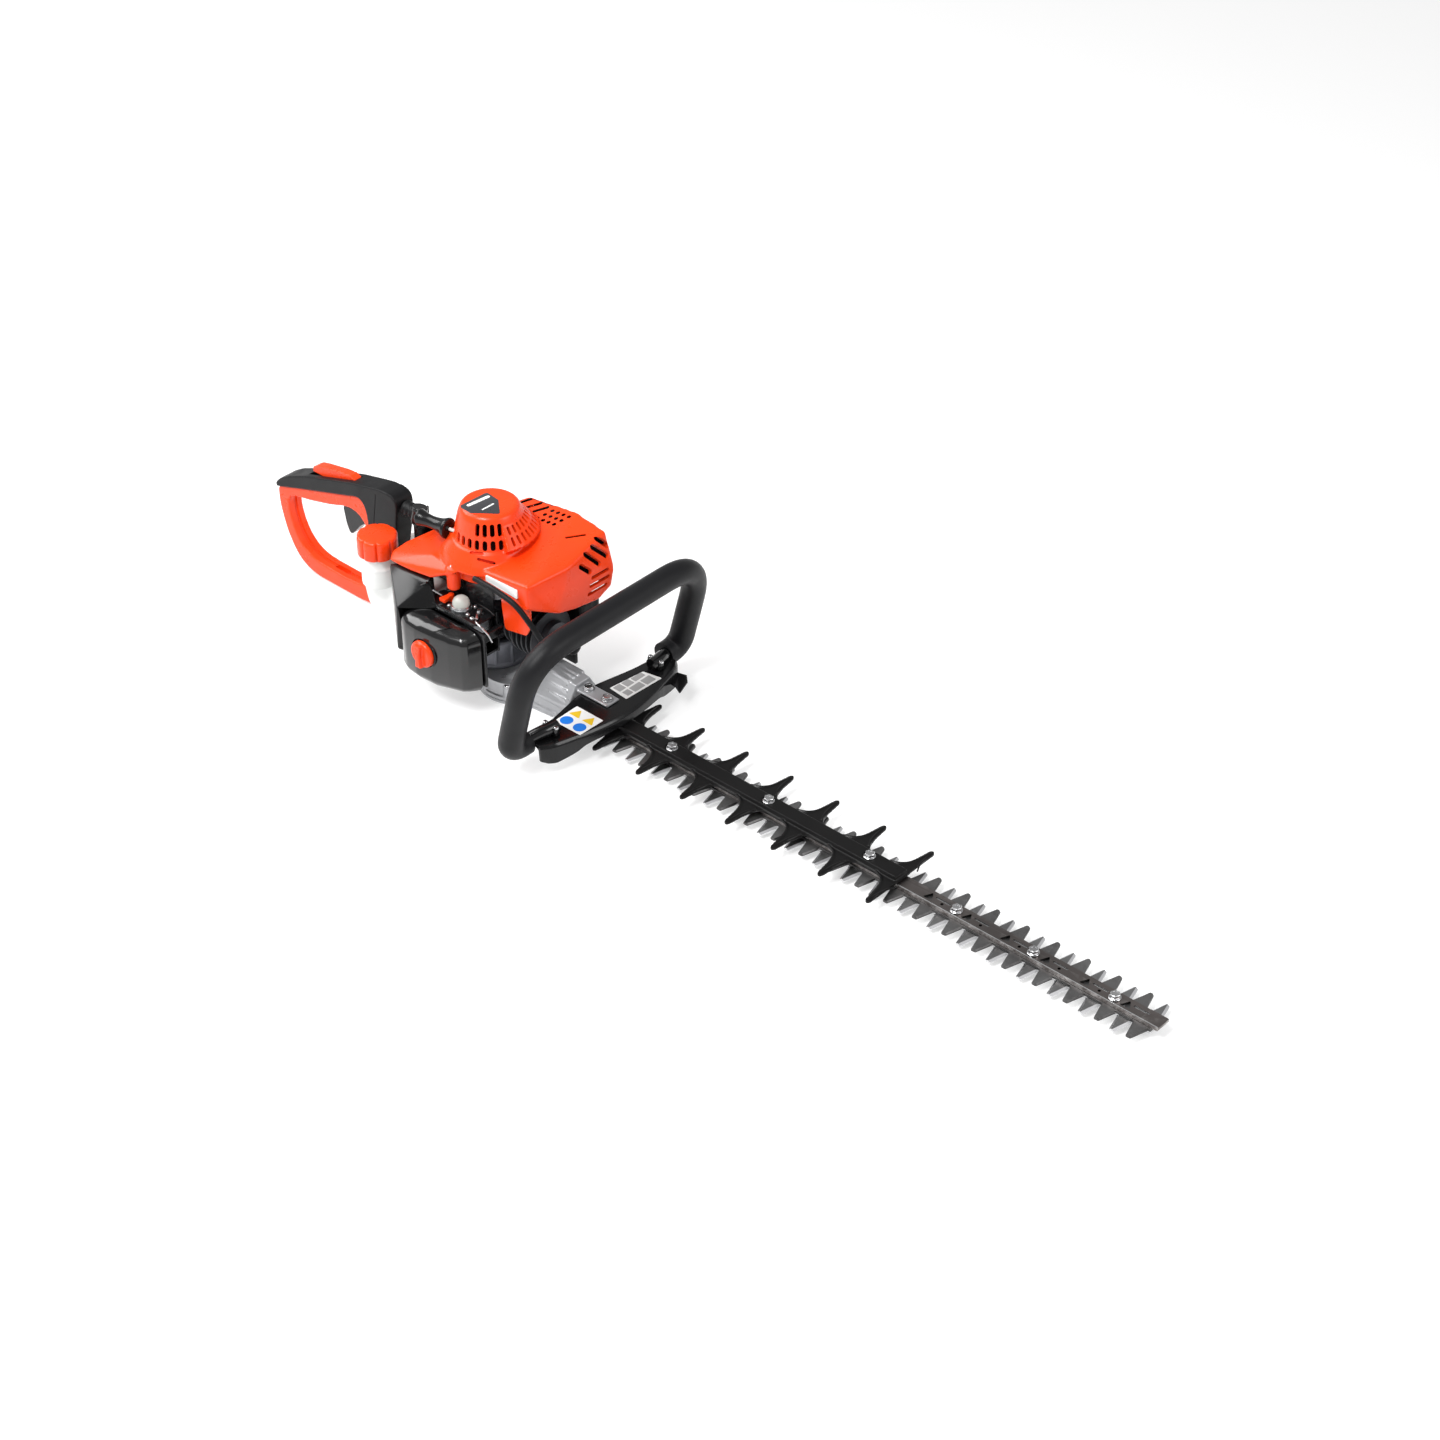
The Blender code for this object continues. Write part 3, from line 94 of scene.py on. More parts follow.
CLAMP_Z = (0.0473, 0.0503)
CLAMP_END_X = 0.121
CLAMP_BOLTS_X = (0.087, 0.113)


# ---- Mesh tools ----------------------------------------------------------------------------------

def linked(name, data):
    """New object that holds the data, in the scene's collection."""
    obj = bpy.data.objects.new(name, data)
    bpy.context.collection.objects.link(obj)
    return obj


def from_bmesh(name, bm):
    """New object from a bmesh, with its faces pointing out."""
    bmesh.ops.recalc_face_normals(bm, faces=bm.faces)
    mesh = bpy.data.meshes.new(name)
    bm.to_mesh(mesh)
    bm.free()
    return linked(name, mesh)


def mesh_object(name, verts, faces):
    """New object from points and the faces between them."""
    bm = bmesh.new()
    points = [bm.verts.new(v) for v in verts]
    for face in faces:
        bm.faces.new([points[i] for i in face])
    return from_bmesh(name, bm)


def loft(name, rings):
    """Skin over closed rings that all have the same number of points, with flat ends."""
    count = len(rings[0])
    verts = [v for ring in rings for v in ring]
    faces = [tuple(range(count)), tuple((len(rings) - 1) * count + i for i in range(count))]
    for level in range(len(rings) - 1):
        low = level * count
        for i in range(count):
            j = (i + 1) % count
            faces.append((low + i, low + j, low + count + j, low + count + i))
    return mesh_object(name, verts, faces)


def prism(name, outline, low, high, plane="XY"):
    """Outline pushed from low to high along the axis that its plane leaves out."""
    place = {"XY": lambda a, b, c: (a, b, c), "XZ": lambda a, b, c: (a, c, b),
        "YZ": lambda a, b, c: (c, a, b)}[plane]
    return loft(name, [[place(a, b, level) for a, b in outline] for level in (low, high)])


def box(name, low, high):
    """Block between its lowest and its highest corner."""
    outline = [(low[0], low[1]), (high[0], low[1]), (high[0], high[1]), (low[0], high[1])]
    return prism(name, outline, low[2], high[2])


def revolve(name, profile, centre, axis=(0, 0, 1), steps=48):
    """Closed turned body: profile pairs are radius and distance along the axis."""
    axis = Vector(axis).normalized()
    side = axis.orthogonal().normalized()
    other = axis.cross(side)
    rings = []
    for radius, along in profile:
        ring = []
        for i in range(steps):
            angle = 2 * pi * i / steps
            ring.append(Vector(centre) + axis * along + (side * cos(angle) + other * sin(angle)) * radius)
        rings.append(ring)
    return loft(name, rings)


def rod(name, start, end, radius, steps=20):
    """Straight round bar between two points."""
    length = (Vector(end) - Vector(start)).length
    return revolve(name, [(radius, 0.0), (radius, length)], start, Vector(end) - Vector(start), steps)


def bore(spot, radius, low, high, steps=48):
    """Upright round cutter about the point spot in the XY plane."""
    return revolve("cutter", [(radius, low), (radius, high)], (*spot, 0.0), steps=steps)


def hull(name, points):
    """Smallest convex body round the points."""
    bm = bmesh.new()
    for p in points:
        bm.verts.new(p)
    result = bmesh.ops.convex_hull(bm, input=bm.verts)
    spare = result["geom_interior"] + result["geom_unused"]
    loose = [v for v in spare if isinstance(v, bmesh.types.BMVert)]
    bmesh.ops.delete(bm, geom=list(dict.fromkeys(loose)), context="VERTS")
    return from_bmesh(name, bm)


def spline(knots, per_span=8):
    """Catmull-Rom curve through the knots."""
    points = [Vector(k) for k in knots]
    ends = [2 * points[0] - points[1]] + points + [2 * points[-1] - points[-2]]
    route = []
    for a, b, c, d in zip(ends, ends[1:], ends[2:], ends[3:]):
        for i in range(per_span):
            t = i / per_span
            route.append(0.5 * (2 * b + (c - a) * t + (2 * a - 5 * b + 4 * c - d) * t * t
                + (3 * b - a - 3 * c + d) * t * t * t))
    return route + [points[-1]]


def rounded_outline(corners, radii, steps=6):
    """Closed outline with each corner turned into an arc of its own radius."""
    count = len(corners)
    if not isinstance(radii, (list, tuple)):
        radii = [radii] * count
    outline = []
    for i in range(count):
        before = Vector(corners[i - 1])
        corner = Vector(corners[i])
        after = Vector(corners[(i + 1) % count])
        to_before = (before - corner).normalized()
        to_after = (after - corner).normalized()
        half = to_before.angle(to_after) / 2
        reach = min(radii[i] / max(sin(half) / cos(half), 1e-6), 0.45 * (before - corner).length,
            0.45 * (after - corner).length)
        start = corner + to_before * reach
        end = corner + to_after * reach
        for k in range(steps + 1):
            t = k / steps
            outline.append((1 - t) ** 2 * start + 2 * t * (1 - t) * corner + t * t * end)
    return outline


def tube(name, path, radius, sides=16):
    """Round tube along a path."""
    points = [Vector(p) for p in path]
    side = None
    rings = []
    for i, p in enumerate(points):
        ahead = points[min(i + 1, len(points) - 1)]
        behind = points[max(i - 1, 0)]
        along = (ahead - behind).normalized()
        side = along.orthogonal() if side is None else side - along * side.dot(along)
        side.normalize()
        other = along.cross(side)
        ring = []
        for k in range(sides):
            angle = 2 * pi * k / sides
            ring.append(p + side * cos(angle) * radius + other * sin(angle) * radius)
        rings.append(ring)
    return loft(name, rings)


def flatten(obj):
    """Replace the object's mesh by what its modifiers make of it."""
    depsgraph = bpy.context.evaluated_depsgraph_get()
    mesh = bpy.data.meshes.new_from_object(obj.evaluated_get(depsgraph))
    obj.modifiers.clear()
    old = obj.data
    obj.data = mesh
    bpy.data.meshes.remove(old)
    return obj


def delete(obj):
    """Remove a piece that has been used up."""
    mesh = obj.data
    bpy.data.objects.remove(obj)
    bpy.data.meshes.remove(mesh)


def bevelled(obj, width, segments=3, angle=30):
    """The piece with its edges rounded by width, where they turn by more than angle."""
    modifier = obj.modifiers.new("edges", "BEVEL")
    modifier.width = width
    modifier.segments = segments
    modifier.angle_limit = radians(angle)
    modifier.harden_normals = False
    return flatten(obj)


def joined(first, *others):
    """One mesh that holds all the shells."""
    bm = bmesh.new()
    bm.from_mesh(first.data)
    for other in others:
        bm.from_mesh(other.data)
        delete(other)
    bm.to_mesh(first.data)
    bm.free()
    return first


def fused(first, *others, voxel=0.001, rounds=6):
    """Shells melted into one skin with soft inner and outer edges."""
    obj = joined(first, *others)
    remesh = obj.modifiers.new("skin", "REMESH")
    remesh.mode = "VOXEL"
    remesh.voxel_size = voxel
    relax = obj.modifiers.new("relax", "SMOOTH")
    relax.factor = RELAX_FACTOR
    relax.iterations = rounds
    return flatten(obj)


def boolean(base, other, operation, solver="MANIFOLD"):
    """Cut, join or cross base with other, which is used up."""
    modifier = base.modifiers.new(operation, "BOOLEAN")
    modifier.operation = operation
    modifier.solver = solver
    modifier.object = other
    flatten(base)
    delete(other)
    return base


def carved(base, *cutters, solver="MANIFOLD"):
    """Base with the cutters taken away, one after the other."""
    for cutter in cutters:
        boolean(base, cutter, "DIFFERENCE", solver)
    return base


def united(base, *others, solver="MANIFOLD"):
    """Base and the others as one closed body."""
    for other in others:
        boolean(base, other, "UNION", solver)
    return base


def smooth(obj, angle=38):
    """Smooth shading, with sharp edges where faces turn by more than angle."""
    obj.data.shade_smooth()
    obj.data.set_sharp_from_angle(angle=radians(angle))
    return obj


def turned(obj, matrix):
    """The piece moved by a matrix."""
    obj.data.transform(matrix)
    return obj


def surfaced(obj, *finishes):
    """Give the piece these material slots, for faces that are then shared out between them."""
    obj.data.materials.clear()
    for surface in finishes:
        obj.data.materials.append(surface)


def settle(obj, slot, finish, *replaced, body="powerhead", angle=38):
    """Lower the finished piece to the frame's level, and give it its body, finish and CAD nodes; slot is
    not used.

    body is None for a piece that is left without a body.
    """
    obj.data.transform(Matrix.Translation((0.0, 0.0, -LEVEL)))
    if not any(obj.data.materials):
        surfaced(obj, finish)
    smooth(obj, angle)
    if body:
        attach(obj, body)
    if replaced:
        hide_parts(*replaced)
    return obj


# ---- Materials -----------------------------------------------------------------------------------

class Nodes:
    """Short helper that adds and links shader nodes."""

    def __init__(self, name):
        self.material = bpy.data.materials.new(name)
        self.material.use_nodes = True
        self.tree = self.material.node_tree
        self.shader = self.tree.nodes["Principled BSDF"]
        self.place = self.add("ShaderNodeTexCoord").outputs["Object"]

    def add(self, kind, **settings):
        node = self.tree.nodes.new(kind)
        for key, value in settings.items():
            setattr(node, key, value)
        return node

    def link(self, source, target):
        self.tree.links.new(source, target)

    def stretched(self, scale):
        mapping = self.add("ShaderNodeMapping")
        mapping.inputs["Scale"].default_value = scale
        self.link(self.place, mapping.inputs["Vector"])
        return mapping.outputs["Vector"]

    def noise(self, scale, detail=3.0, roughness=0.55, place=None):
        node = self.add("ShaderNodeTexNoise")
        node.inputs["Scale"].default_value = scale
        node.inputs["Detail"].default_value = detail
        node.inputs["Roughness"].default_value = roughness
        self.link(place or self.place, node.inputs["Vector"])
        return node.outputs["Fac"]

    def spread(self, value, low, high, out_low, out_high):
        node = self.add("ShaderNodeMapRange")
        node.inputs["From Min"].default_value = low
        node.inputs["From Max"].default_value = high
        node.inputs["To Min"].default_value = out_low
        node.inputs["To Max"].default_value = out_high
        self.link(value, node.inputs["Value"])
        return node.outputs["Result"]

    def mixed(self, factor, first, second):
        node = self.add("ShaderNodeMix", data_type="RGBA")
        self.link(factor, node.inputs["Factor"])
        for value, socket in ((first, node.inputs["A"]), (second, node.inputs["B"])):
            if isinstance(value, (tuple, list)):
                socket.default_value = (*value, 1.0)
            else:
                self.link(value, socket)
        return node.outputs["Result"]

    def bump(self, height, distance, strength=1.0, before=None):
        node = self.add("ShaderNodeBump")
        node.inputs["Distance"].default_value = distance
        node.inputs["Strength"].default_value = strength
        self.link(height, node.inputs["Height"])
        if before is not None:
            self.link(before, node.inputs["Normal"])
        return node.outputs["Normal"]


def finish(name, color, shade, roughness, metallic=0.0, grain=(900.0, 0.00004), coat=0.0,
        worn=None, stretch=None, specular=0.5, grain_strength=0.6):
    """Base colour that drifts between color and shade, roughness between two values, and a fine grain.

    worn is an optional colour that shows on the sharpest edges.
    """
    n = Nodes(name)
    place = n.stretched(stretch) if stretch else n.place
    drift = n.spread(n.noise(BLOTCH_SCALE, 4.0), 0.35, 0.65, 0.0, 1.0)
    base = n.mixed(drift, color, shade)
    fine = n.noise(grain[0], 2.0, 0.5, place)
    if worn is not None:
        edge = n.add("ShaderNodeNewGeometry").outputs["Pointiness"]
        scatter = n.noise(120.0, 5.0, 0.7)
        product = n.add("ShaderNodeMath", operation="MULTIPLY")
        n.link(n.spread(edge, 0.53, 0.6, 0.0, 1.0), product.inputs[0])
        n.link(n.spread(scatter, 0.4, 0.62, 0.0, 1.0), product.inputs[1])
        base = n.mixed(product.outputs["Value"], base, worn)
    n.link(base, n.shader.inputs["Base Color"])
    smudge = n.noise(BLOTCH_SCALE * 3.0, 5.0, 0.6)
    n.link(n.spread(smudge, 0.3, 0.7, roughness[0], roughness[1]), n.shader.inputs["Roughness"])
    n.link(n.bump(fine, grain[1], grain_strength), n.shader.inputs["Normal"])
    n.shader.inputs["Metallic"].default_value = metallic
    n.shader.inputs["Specular IOR Level"].default_value = specular
    n.shader.inputs["Coat Weight"].default_value = coat
    n.shader.inputs["Coat Roughness"].default_value = 0.08
    return n.material


def white_finish():
    """Slightly translucent white plastic."""
    n = Nodes("white_plastic")
    drift = n.spread(n.noise(16.0, 3.0), 0.35, 0.65, 0.0, 1.0)
    n.link(n.mixed(drift, (0.8, 0.81, 0.8), (0.74, 0.75, 0.735)), n.shader.inputs["Base Color"])
    n.link(n.spread(n.noise(40.0, 4.0), 0.3, 0.7, 0.34, 0.46), n.shader.inputs["Roughness"])
    n.link(n.bump(n.noise(900.0), 0.00004, 0.5), n.shader.inputs["Normal"])
    n.shader.inputs["Subsurface Weight"].default_value = 0.25
    n.shader.inputs["Subsurface Radius"].default_value = (0.004, 0.004, 0.0038)
    return n.material


def clear_finish():
    """Milky clear plastic."""
    n = Nodes("clear_plastic")
    drift = n.spread(n.noise(60.0, 2.0), 0.35, 0.65, 0.0, 1.0)
    n.link(n.mixed(drift, (0.86, 0.88, 0.84), (0.78, 0.8, 0.75)), n.shader.inputs["Base Color"])
    n.link(n.spread(n.noise(200.0, 3.0), 0.3, 0.7, 0.06, 0.14), n.shader.inputs["Roughness"])
    n.shader.inputs["Transmission Weight"].default_value = 0.55
    n.shader.inputs["IOR"].default_value = 1.45
    return n.material


def rope_finish():
    """Braided cord."""
    n = Nodes("rope_nylon")
    braid = n.add("ShaderNodeTexWave", wave_type="BANDS", bands_direction="DIAGONAL")
    braid.inputs["Scale"].default_value = 260.0
    n.link(n.place, braid.inputs["Vector"])
    n.link(n.mixed(braid.outputs["Fac"], (0.62, 0.61, 0.57), (0.82, 0.81, 0.77)),
        n.shader.inputs["Base Color"])
    n.link(n.bump(braid.outputs["Fac"], 0.0003, 0.8), n.shader.inputs["Normal"])
    n.shader.inputs["Roughness"].default_value = 0.85
    return n.material


def cast_finish(name, color, shade, metallic):
    """Rough cast metal: drifting colour, uneven sheen and a coarse grain over soft waves."""
    n = Nodes(name)
    drift = n.spread(n.noise(22.0, 5.0, 0.6), 0.35, 0.65, 0.0, 1.0)
    base = n.mixed(drift, color, shade)
    n.link(base, n.shader.inputs["Base Color"])
    n.link(n.spread(n.noise(90.0, 5.0), 0.3, 0.7, 0.26, 0.44), n.shader.inputs["Roughness"])
    coarse = n.bump(n.noise(520.0, 4.0, 0.7), 0.00035, 0.5)
    n.link(n.bump(n.noise(60.0, 2.0), 0.0006, 0.25, coarse), n.shader.inputs["Normal"])
    n.shader.inputs["Metallic"].default_value = metallic
    return n.material


def blade_finish(name, color, shade, roughness, edge):
    """Rolled steel with fine scratches along the blade and bright worn edges."""
    return finish(name, color, shade, roughness, 1.0, grain=(2200.0, 0.00004), stretch=(0.08, 1.0, 1.0),
        worn=edge)


def label_finish(name, color, roughness=0.35):
    """Printed sheet of one colour."""
    return finish(name, color, tuple(c * 0.94 for c in color), (roughness, roughness + 0.08),
        grain=(1200.0, 0.00001), coat=0.2)


ORANGE = finish("orange_plastic", (0.86, 0.052, 0.0045), (0.8, 0.045, 0.004), (0.24, 0.34),
    grain=(1400.0, 0.00002), worn=(0.9, 0.075, 0.012), specular=0.32)
BLACK = finish("black_plastic", (0.004, 0.004, 0.0044), (0.006, 0.006, 0.0064), (0.14, 0.26),
    grain=(1600.0, 0.00002), worn=(0.018, 0.018, 0.02), specular=0.34)
BLACK_GLOSS = finish("glossy_black_plastic", (0.004, 0.004, 0.0043), (0.006, 0.006, 0.0065), (0.13, 0.2),
    coat=0.22, specular=0.5)
GRAINED = finish("grained_black_plastic", (0.006, 0.006, 0.0066), (0.009, 0.009, 0.01), (0.36, 0.5),
    grain=(1900.0, 0.00006), worn=(0.02, 0.02, 0.022), specular=0.2)
RUBBER = finish("black_rubber", (0.0055, 0.0055, 0.0062), (0.0085, 0.0085, 0.0094), (0.38, 0.52),
    grain=(2300.0, 0.00007), specular=0.18)
FOAM = finish("grip_sleeve", (0.006, 0.006, 0.007), (0.009, 0.009, 0.0102), (0.38, 0.5),
    grain=(2600.0, 0.0001), specular=0.2, grain_strength=0.8)
FILTER = finish("filter_foam", (0.05, 0.05, 0.05), (0.09, 0.09, 0.085), (0.9, 0.98), grain=(700.0, 0.0008))
WHITE = white_finish()
CLEAR = clear_finish()
ROPE = rope_finish()
CAST = cast_finish("cast_aluminium", (0.5, 0.505, 0.52), (0.38, 0.385, 0.4), 0.55)
CAST_DARK = cast_finish("cast_dark", (0.045, 0.046, 0.052), (0.028, 0.029, 0.034), 0.3)
CAST_GREY = cast_finish("cast_grey", (0.17, 0.175, 0.2), (0.11, 0.115, 0.135), 0.4)
MACHINED = finish("machined_aluminium", (0.66, 0.67, 0.69), (0.58, 0.59, 0.61), (0.22, 0.36), 1.0,
    grain=(900.0, 0.00005), stretch=(1.0, 12.0, 1.0), grain_strength=0.4)
STEEL = finish("bolt_steel", (0.62, 0.62, 0.63), (0.5, 0.5, 0.51), (0.18, 0.32), 1.0,
    grain=(1500.0, 0.00003), worn=(0.8, 0.8, 0.8))
UPPER_STEEL = blade_finish("dark_blade_steel", (0.2, 0.198, 0.198), (0.15, 0.148, 0.148), (0.38, 0.52),
    (0.3, 0.3, 0.3))
LOWER_STEEL = blade_finish("blade_steel", (0.3, 0.3, 0.302), (0.23, 0.23, 0.232), (0.32, 0.46),
    (0.5, 0.5, 0.51))
UPPER_EDGE = blade_finish("dark_blade_edge", (0.1, 0.098, 0.098), (0.07, 0.068, 0.068), (0.28, 0.42),
    (0.26, 0.26, 0.26))
# Ground steel of the lower blade's edges; on the guide bar it is a painted highlight on the fold's top and
# the groove floors.
GROUND_EDGE_AND_PAINTED_HIGHLIGHT = blade_finish("ground_edge_and_painted_highlight", (0.78, 0.78, 0.79), (0.6, 0.6, 0.61), (0.2, 0.34),
    (0.85, 0.85, 0.85))
BAR_STEEL = blade_finish("bar_steel", (0.19, 0.17, 0.164), (0.135, 0.122, 0.118), (0.34, 0.48),
    (0.42, 0.4, 0.39))
# Painted light: ground steel in a grey of its own for the lower blade's flanks that face +x, standing in
# for a lamp on that side.
FLANK_PAINTED_LIGHT = finish("flank_painted_light", (0.44, 0.44, 0.45), (0.36, 0.36, 0.37), (0.3, 0.45), metallic=0.3)
# Black coated steel; on the guide bar it is painted shade on the walls of the holes, grooves and channel,
# on the channel floor and on the underside.
COATED_AND_PAINTED_SHADE = finish("black_coated_steel", (0.003, 0.0028, 0.0029), (0.005, 0.0047, 0.0048), (0.28, 0.42), 0.0,
    grain=(1300.0, 0.00006), worn=(0.026, 0.025, 0.025), specular=0.22)
COATED_GLOSS = finish("glossy_coated_steel", (0.0035, 0.0035, 0.0038), (0.0055, 0.0055, 0.006),
    (0.12, 0.22), grain=(1300.0, 0.00003), specular=0.5)
STICKER_WHITE = label_finish("label_white", (0.84, 0.84, 0.83))
STICKER_GREY = label_finish("label_grey", (0.36, 0.36, 0.36))
STICKER_YELLOW = label_finish("label_yellow", (0.8, 0.52, 0.02))
STICKER_BLUE = label_finish("label_blue", (0.01, 0.19, 0.72))
BADGE_DARK = label_finish("badge_dark", (0.035, 0.035, 0.04), 0.25)

SLOT_FINISHES = {"orange_plastic": ORANGE, "black_plastic": BLACK, "black_rubber": RUBBER,
    "filter_foam": FILTER, "white_plastic": WHITE, "clear_plastic": CLEAR, "rope_nylon": ROPE,
    "cast_aluminium": CAST, "bolt_steel": STEEL, "blade_steel": LOWER_STEEL,
    "dark_blade_steel": UPPER_STEEL, "black_coated_steel": COATED_AND_PAINTED_SHADE}


def finish_carried_nodes():
    """Give every CAD node the finish of its slot; the pieces below replace those that show."""
    for row in frame["record"]["subparts"]:
        surfaced(frame["nodes"][row["node"]], SLOT_FINISHES[row["material_slot"]])


# ---- Cutter --------------------------------------------------------------------------------------

def moved_in(outline, distance):
    """Outline moved inwards by the distance, or outwards when it is negative."""
    points = [Vector(p) for p in outline]
    area = sum(a.x * b.y - b.x * a.y for a, b in zip(points, points[1:] + points[:1]))
    sign = 1 if area > 0 else -1
    result = []
    for i, p in enumerate(points):
        before = (p - points[i - 1]).normalized()
        after = (points[(i + 1) % len(points)] - p).normalized()
        normal = Vector((-before.y - after.y, before.x + after.x)) * sign
        if normal.length < 1e-9:
            normal = Vector((-before.y, before.x)) * sign
        normal.normalize()
        spread = max(normal.dot(Vector((-before.y, before.x)) * sign), 0.5)
        result.append(p + normal * distance / spread)
    return result


def blade_outline(side, root_half, tip_half):
    """Toothed outline; the teeth on the given side start at FIRST_TOOTH_X, the others half a pitch back."""
    corners = []
    radii = []
    for edge in (-1, 1):
        first = FIRST_TOOTH_X if edge == side else FIRST_TOOTH_X - TOOTH_PITCH / 2
        row = [(BLADE_X[0], edge * BLADE_HALF_WIDTH, 0.0005)]
        for n in reversed(range(TEETH_PER_SIDE)):
            x = first - n * TOOTH_PITCH
            row.append((x - root_half, edge * BLADE_HALF_WIDTH, 0.003))
            row.append((x - tip_half, edge * TOOTH_REACH, 0.0016))
            row.append((x + tip_half, edge * TOOTH_REACH, 0.0016))
            row.append((min(x + root_half, BLADE_X[1] - 0.0004), edge * BLADE_HALF_WIDTH, 0.003))
        row.append((BLADE_X[1], edge * BLADE_HALF_WIDTH, 0.0005))
        for x, y, size in row if edge == -1 else reversed(row):
            corners.append((x, y))
            radii.append(size)
    return rounded_outline(corners, radii, 4)


def slot_cutter(x, half_length, radius, low, high):
    """Upright cutter for a long hole centred at x on the blade line."""
    outline = []
    for centre, start in ((x + half_length, -90), (x - half_length, 90)):
        for i in range(9):
            angle = radians(start + 180 * i / 8)
            outline.append((centre + radius * cos(angle), radius * sin(angle)))
    return prism("slots", outline, low, high)


def bolt_holes(low, high, half_length=0.0, radius=0.0027):
    """Cutters for the six blade bolts; half_length makes them long holes."""
    cutters = [slot_cutter(x, half_length, radius, low, high) for x in BAR_BOLTS_X + GUARD_BOLTS_X]
    return joined(*cutters)


def make_blade(name, side, root_half, tip_half, levels, main_finish, ground, flank):
    """Blade whose teeth have ground flanks, each tooth narrower on top by flank at both sides."""
    low, high = levels
    rings = []
    for z, back in ((low, 0.0), (low + 0.0006, 0.0), (high - 0.0013, 0.0), (high, flank)):
        outline = blade_outline(side, root_half - back, tip_half - back)
        rings.append([(p.x, p.y, z) for p in outline])
    blade = loft(name, rings)
    surfaced(blade, main_finish, ground, FLANK_PAINTED_LIGHT)
    for face in blade.data.polygons:
        if abs(face.normal.z) > 0.95:
            face.material_index = 0
        # Painted light: the flanks that face +x take the grey that stands in for a lamp on that side.
        elif flank > 0.002 and face.normal.x > 0.25 and face.normal.z > 0.25:
            face.material_index = 2
        else:
            face.material_index = 1
    carved(blade, bolt_holes(low - 0.001, high + 0.001, STROKE_HALF + GAP))
    return blade


def make_blades():
    """The upper blade of dark steel, and the lower one with wide bright ground flanks; the flanks that face
    +x carry painted light, a grey of their own.
    """
    upper = make_blade("upper_blade_ground", -1, 0.0084, 0.0026, UPPER_BLADE_Z, UPPER_STEEL, UPPER_EDGE,
        0.001)
    settle(upper, "dark_blade_steel", UPPER_STEEL, "upper_blade", angle=20, body="upper_blade")
    lower = make_blade("lower_blade_ground", 1, 0.0078, 0.0028, LOWER_BLADE_Z, LOWER_STEEL, GROUND_EDGE_AND_PAINTED_HIGHLIGHT,
        0.0024)
    settle(lower, "blade_steel", LOWER_STEEL, "lower_blade", angle=20, body="lower_blade")


def make_guide_bar():
    """Flat bar with a fold and a channel along its near edge, holes, and shallow grooves; painted shade
    darkens the walls, the channel floor and the underside, and a painted highlight brightens the fold's top
    and the groove floors.
    """
    low, high = BAR_Z
    plate = BAR_PLATE
    groove_floor = low + BAR_GROOVE_FLOOR
    half = BAR_HALF_WIDTH
    section = [(-half, low), (half, low), (half, low + plate), (-half + 0.003, low + plate),
        (-half + 0.0028, low + plate - 0.0018), (-half + 0.0014, low + plate - 0.0018),
        (-half + 0.0012, high), (-half, high)]
    bar = prism("guide_bar_pressed", section, BAR_X[0], BAR_X[1], "YZ")
    tip = prism("tip", rounded_outline([(BAR_X[1] - 0.02, -half), (BAR_X[1], -half), (BAR_X[1], half),
        (BAR_X[1] - 0.02, half)], 0.0015), low, low + plate + 0.0004)
    united(bar, tip)
    carved(bar, bolt_holes(low - 0.001, high + 0.001, 0.0, 0.0028))
    triangles = []
    holes = []
    grooves = []
    for i in range(8):
        for offset in (0.014, 0.0592):
            x = BAR_BOLTS_X[0] + offset - i * BAR_PATTERN
            if x < 0.5:
                continue
            outline = rounded_outline([(x - 0.0056, -0.0044), (x + 0.005, -0.0034), (x - 0.0006, 0.0062)],
                0.001, 3)
            triangles.append(prism("triangle", outline, low - 0.001, high + 0.001))
            groove = slot_cutter(x + 0.014, 0.0075, 0.0012, groove_floor, high + 0.001)
            grooves.append(turned(groove, Matrix.Translation((0.0, 0.0026, 0.0))))
            if x < 0.75:
                holes.append(bore((x + 0.0155, -0.0016), 0.0016, low - 0.001, high + 0.001, 16))
    carved(bar, joined(*triangles))
    carved(bar, joined(*grooves))
    carved(bar, joined(*holes))
    surfaced(bar, BAR_STEEL, COATED_AND_PAINTED_SHADE, GROUND_EDGE_AND_PAINTED_HIGHLIGHT)
    for face in bar.data.polygons:
        centre = face.center
        # Painted shade: walls, ends and underside within the bar's edges take the near-black coated steel.
        if face.normal.z < 0.5:
            face.material_index = 1 if abs(centre.y) < half - 0.0002 and centre.x < BAR_X[1] - 0.0002 else 0
        # Painted highlight: the fold's top and the groove floors take the bright ground steel.
        elif centre.z > high - 0.0002 or abs(centre.z - groove_floor) < 0.0001:
            face.material_index = 2
        # Painted shade: the channel floor beside the fold takes the near-black coated steel.
        elif centre.y < -half + 0.0031:
            face.material_index = 1
    settle(bar, "dark_blade_steel", BAR_STEEL, "guide_bar", angle=8)


def guard_tooth(x, edge):
    """Blunt finger of the guard: a long sweep behind and a shorter one in front."""
    root = 0.0112
    reach = 0.0498
    row = [(x - 0.019, root), (x - 0.0125, root + 0.002), (x - 0.0088, root + 0.0075),
        (x - 0.0058, root + 0.018), (x - 0.003, reach - 0.0026), (x - 0.0013, reach), (x + 0.0013, reach),
        (x + 0.003, reach - 0.0026), (x + 0.005, root + 0.018), (x + 0.0078, root + 0.0075),
        (x + 0.0108, root + 0.002), (x + 0.015, root)]
    return [(a, edge * b) for a, b in row]


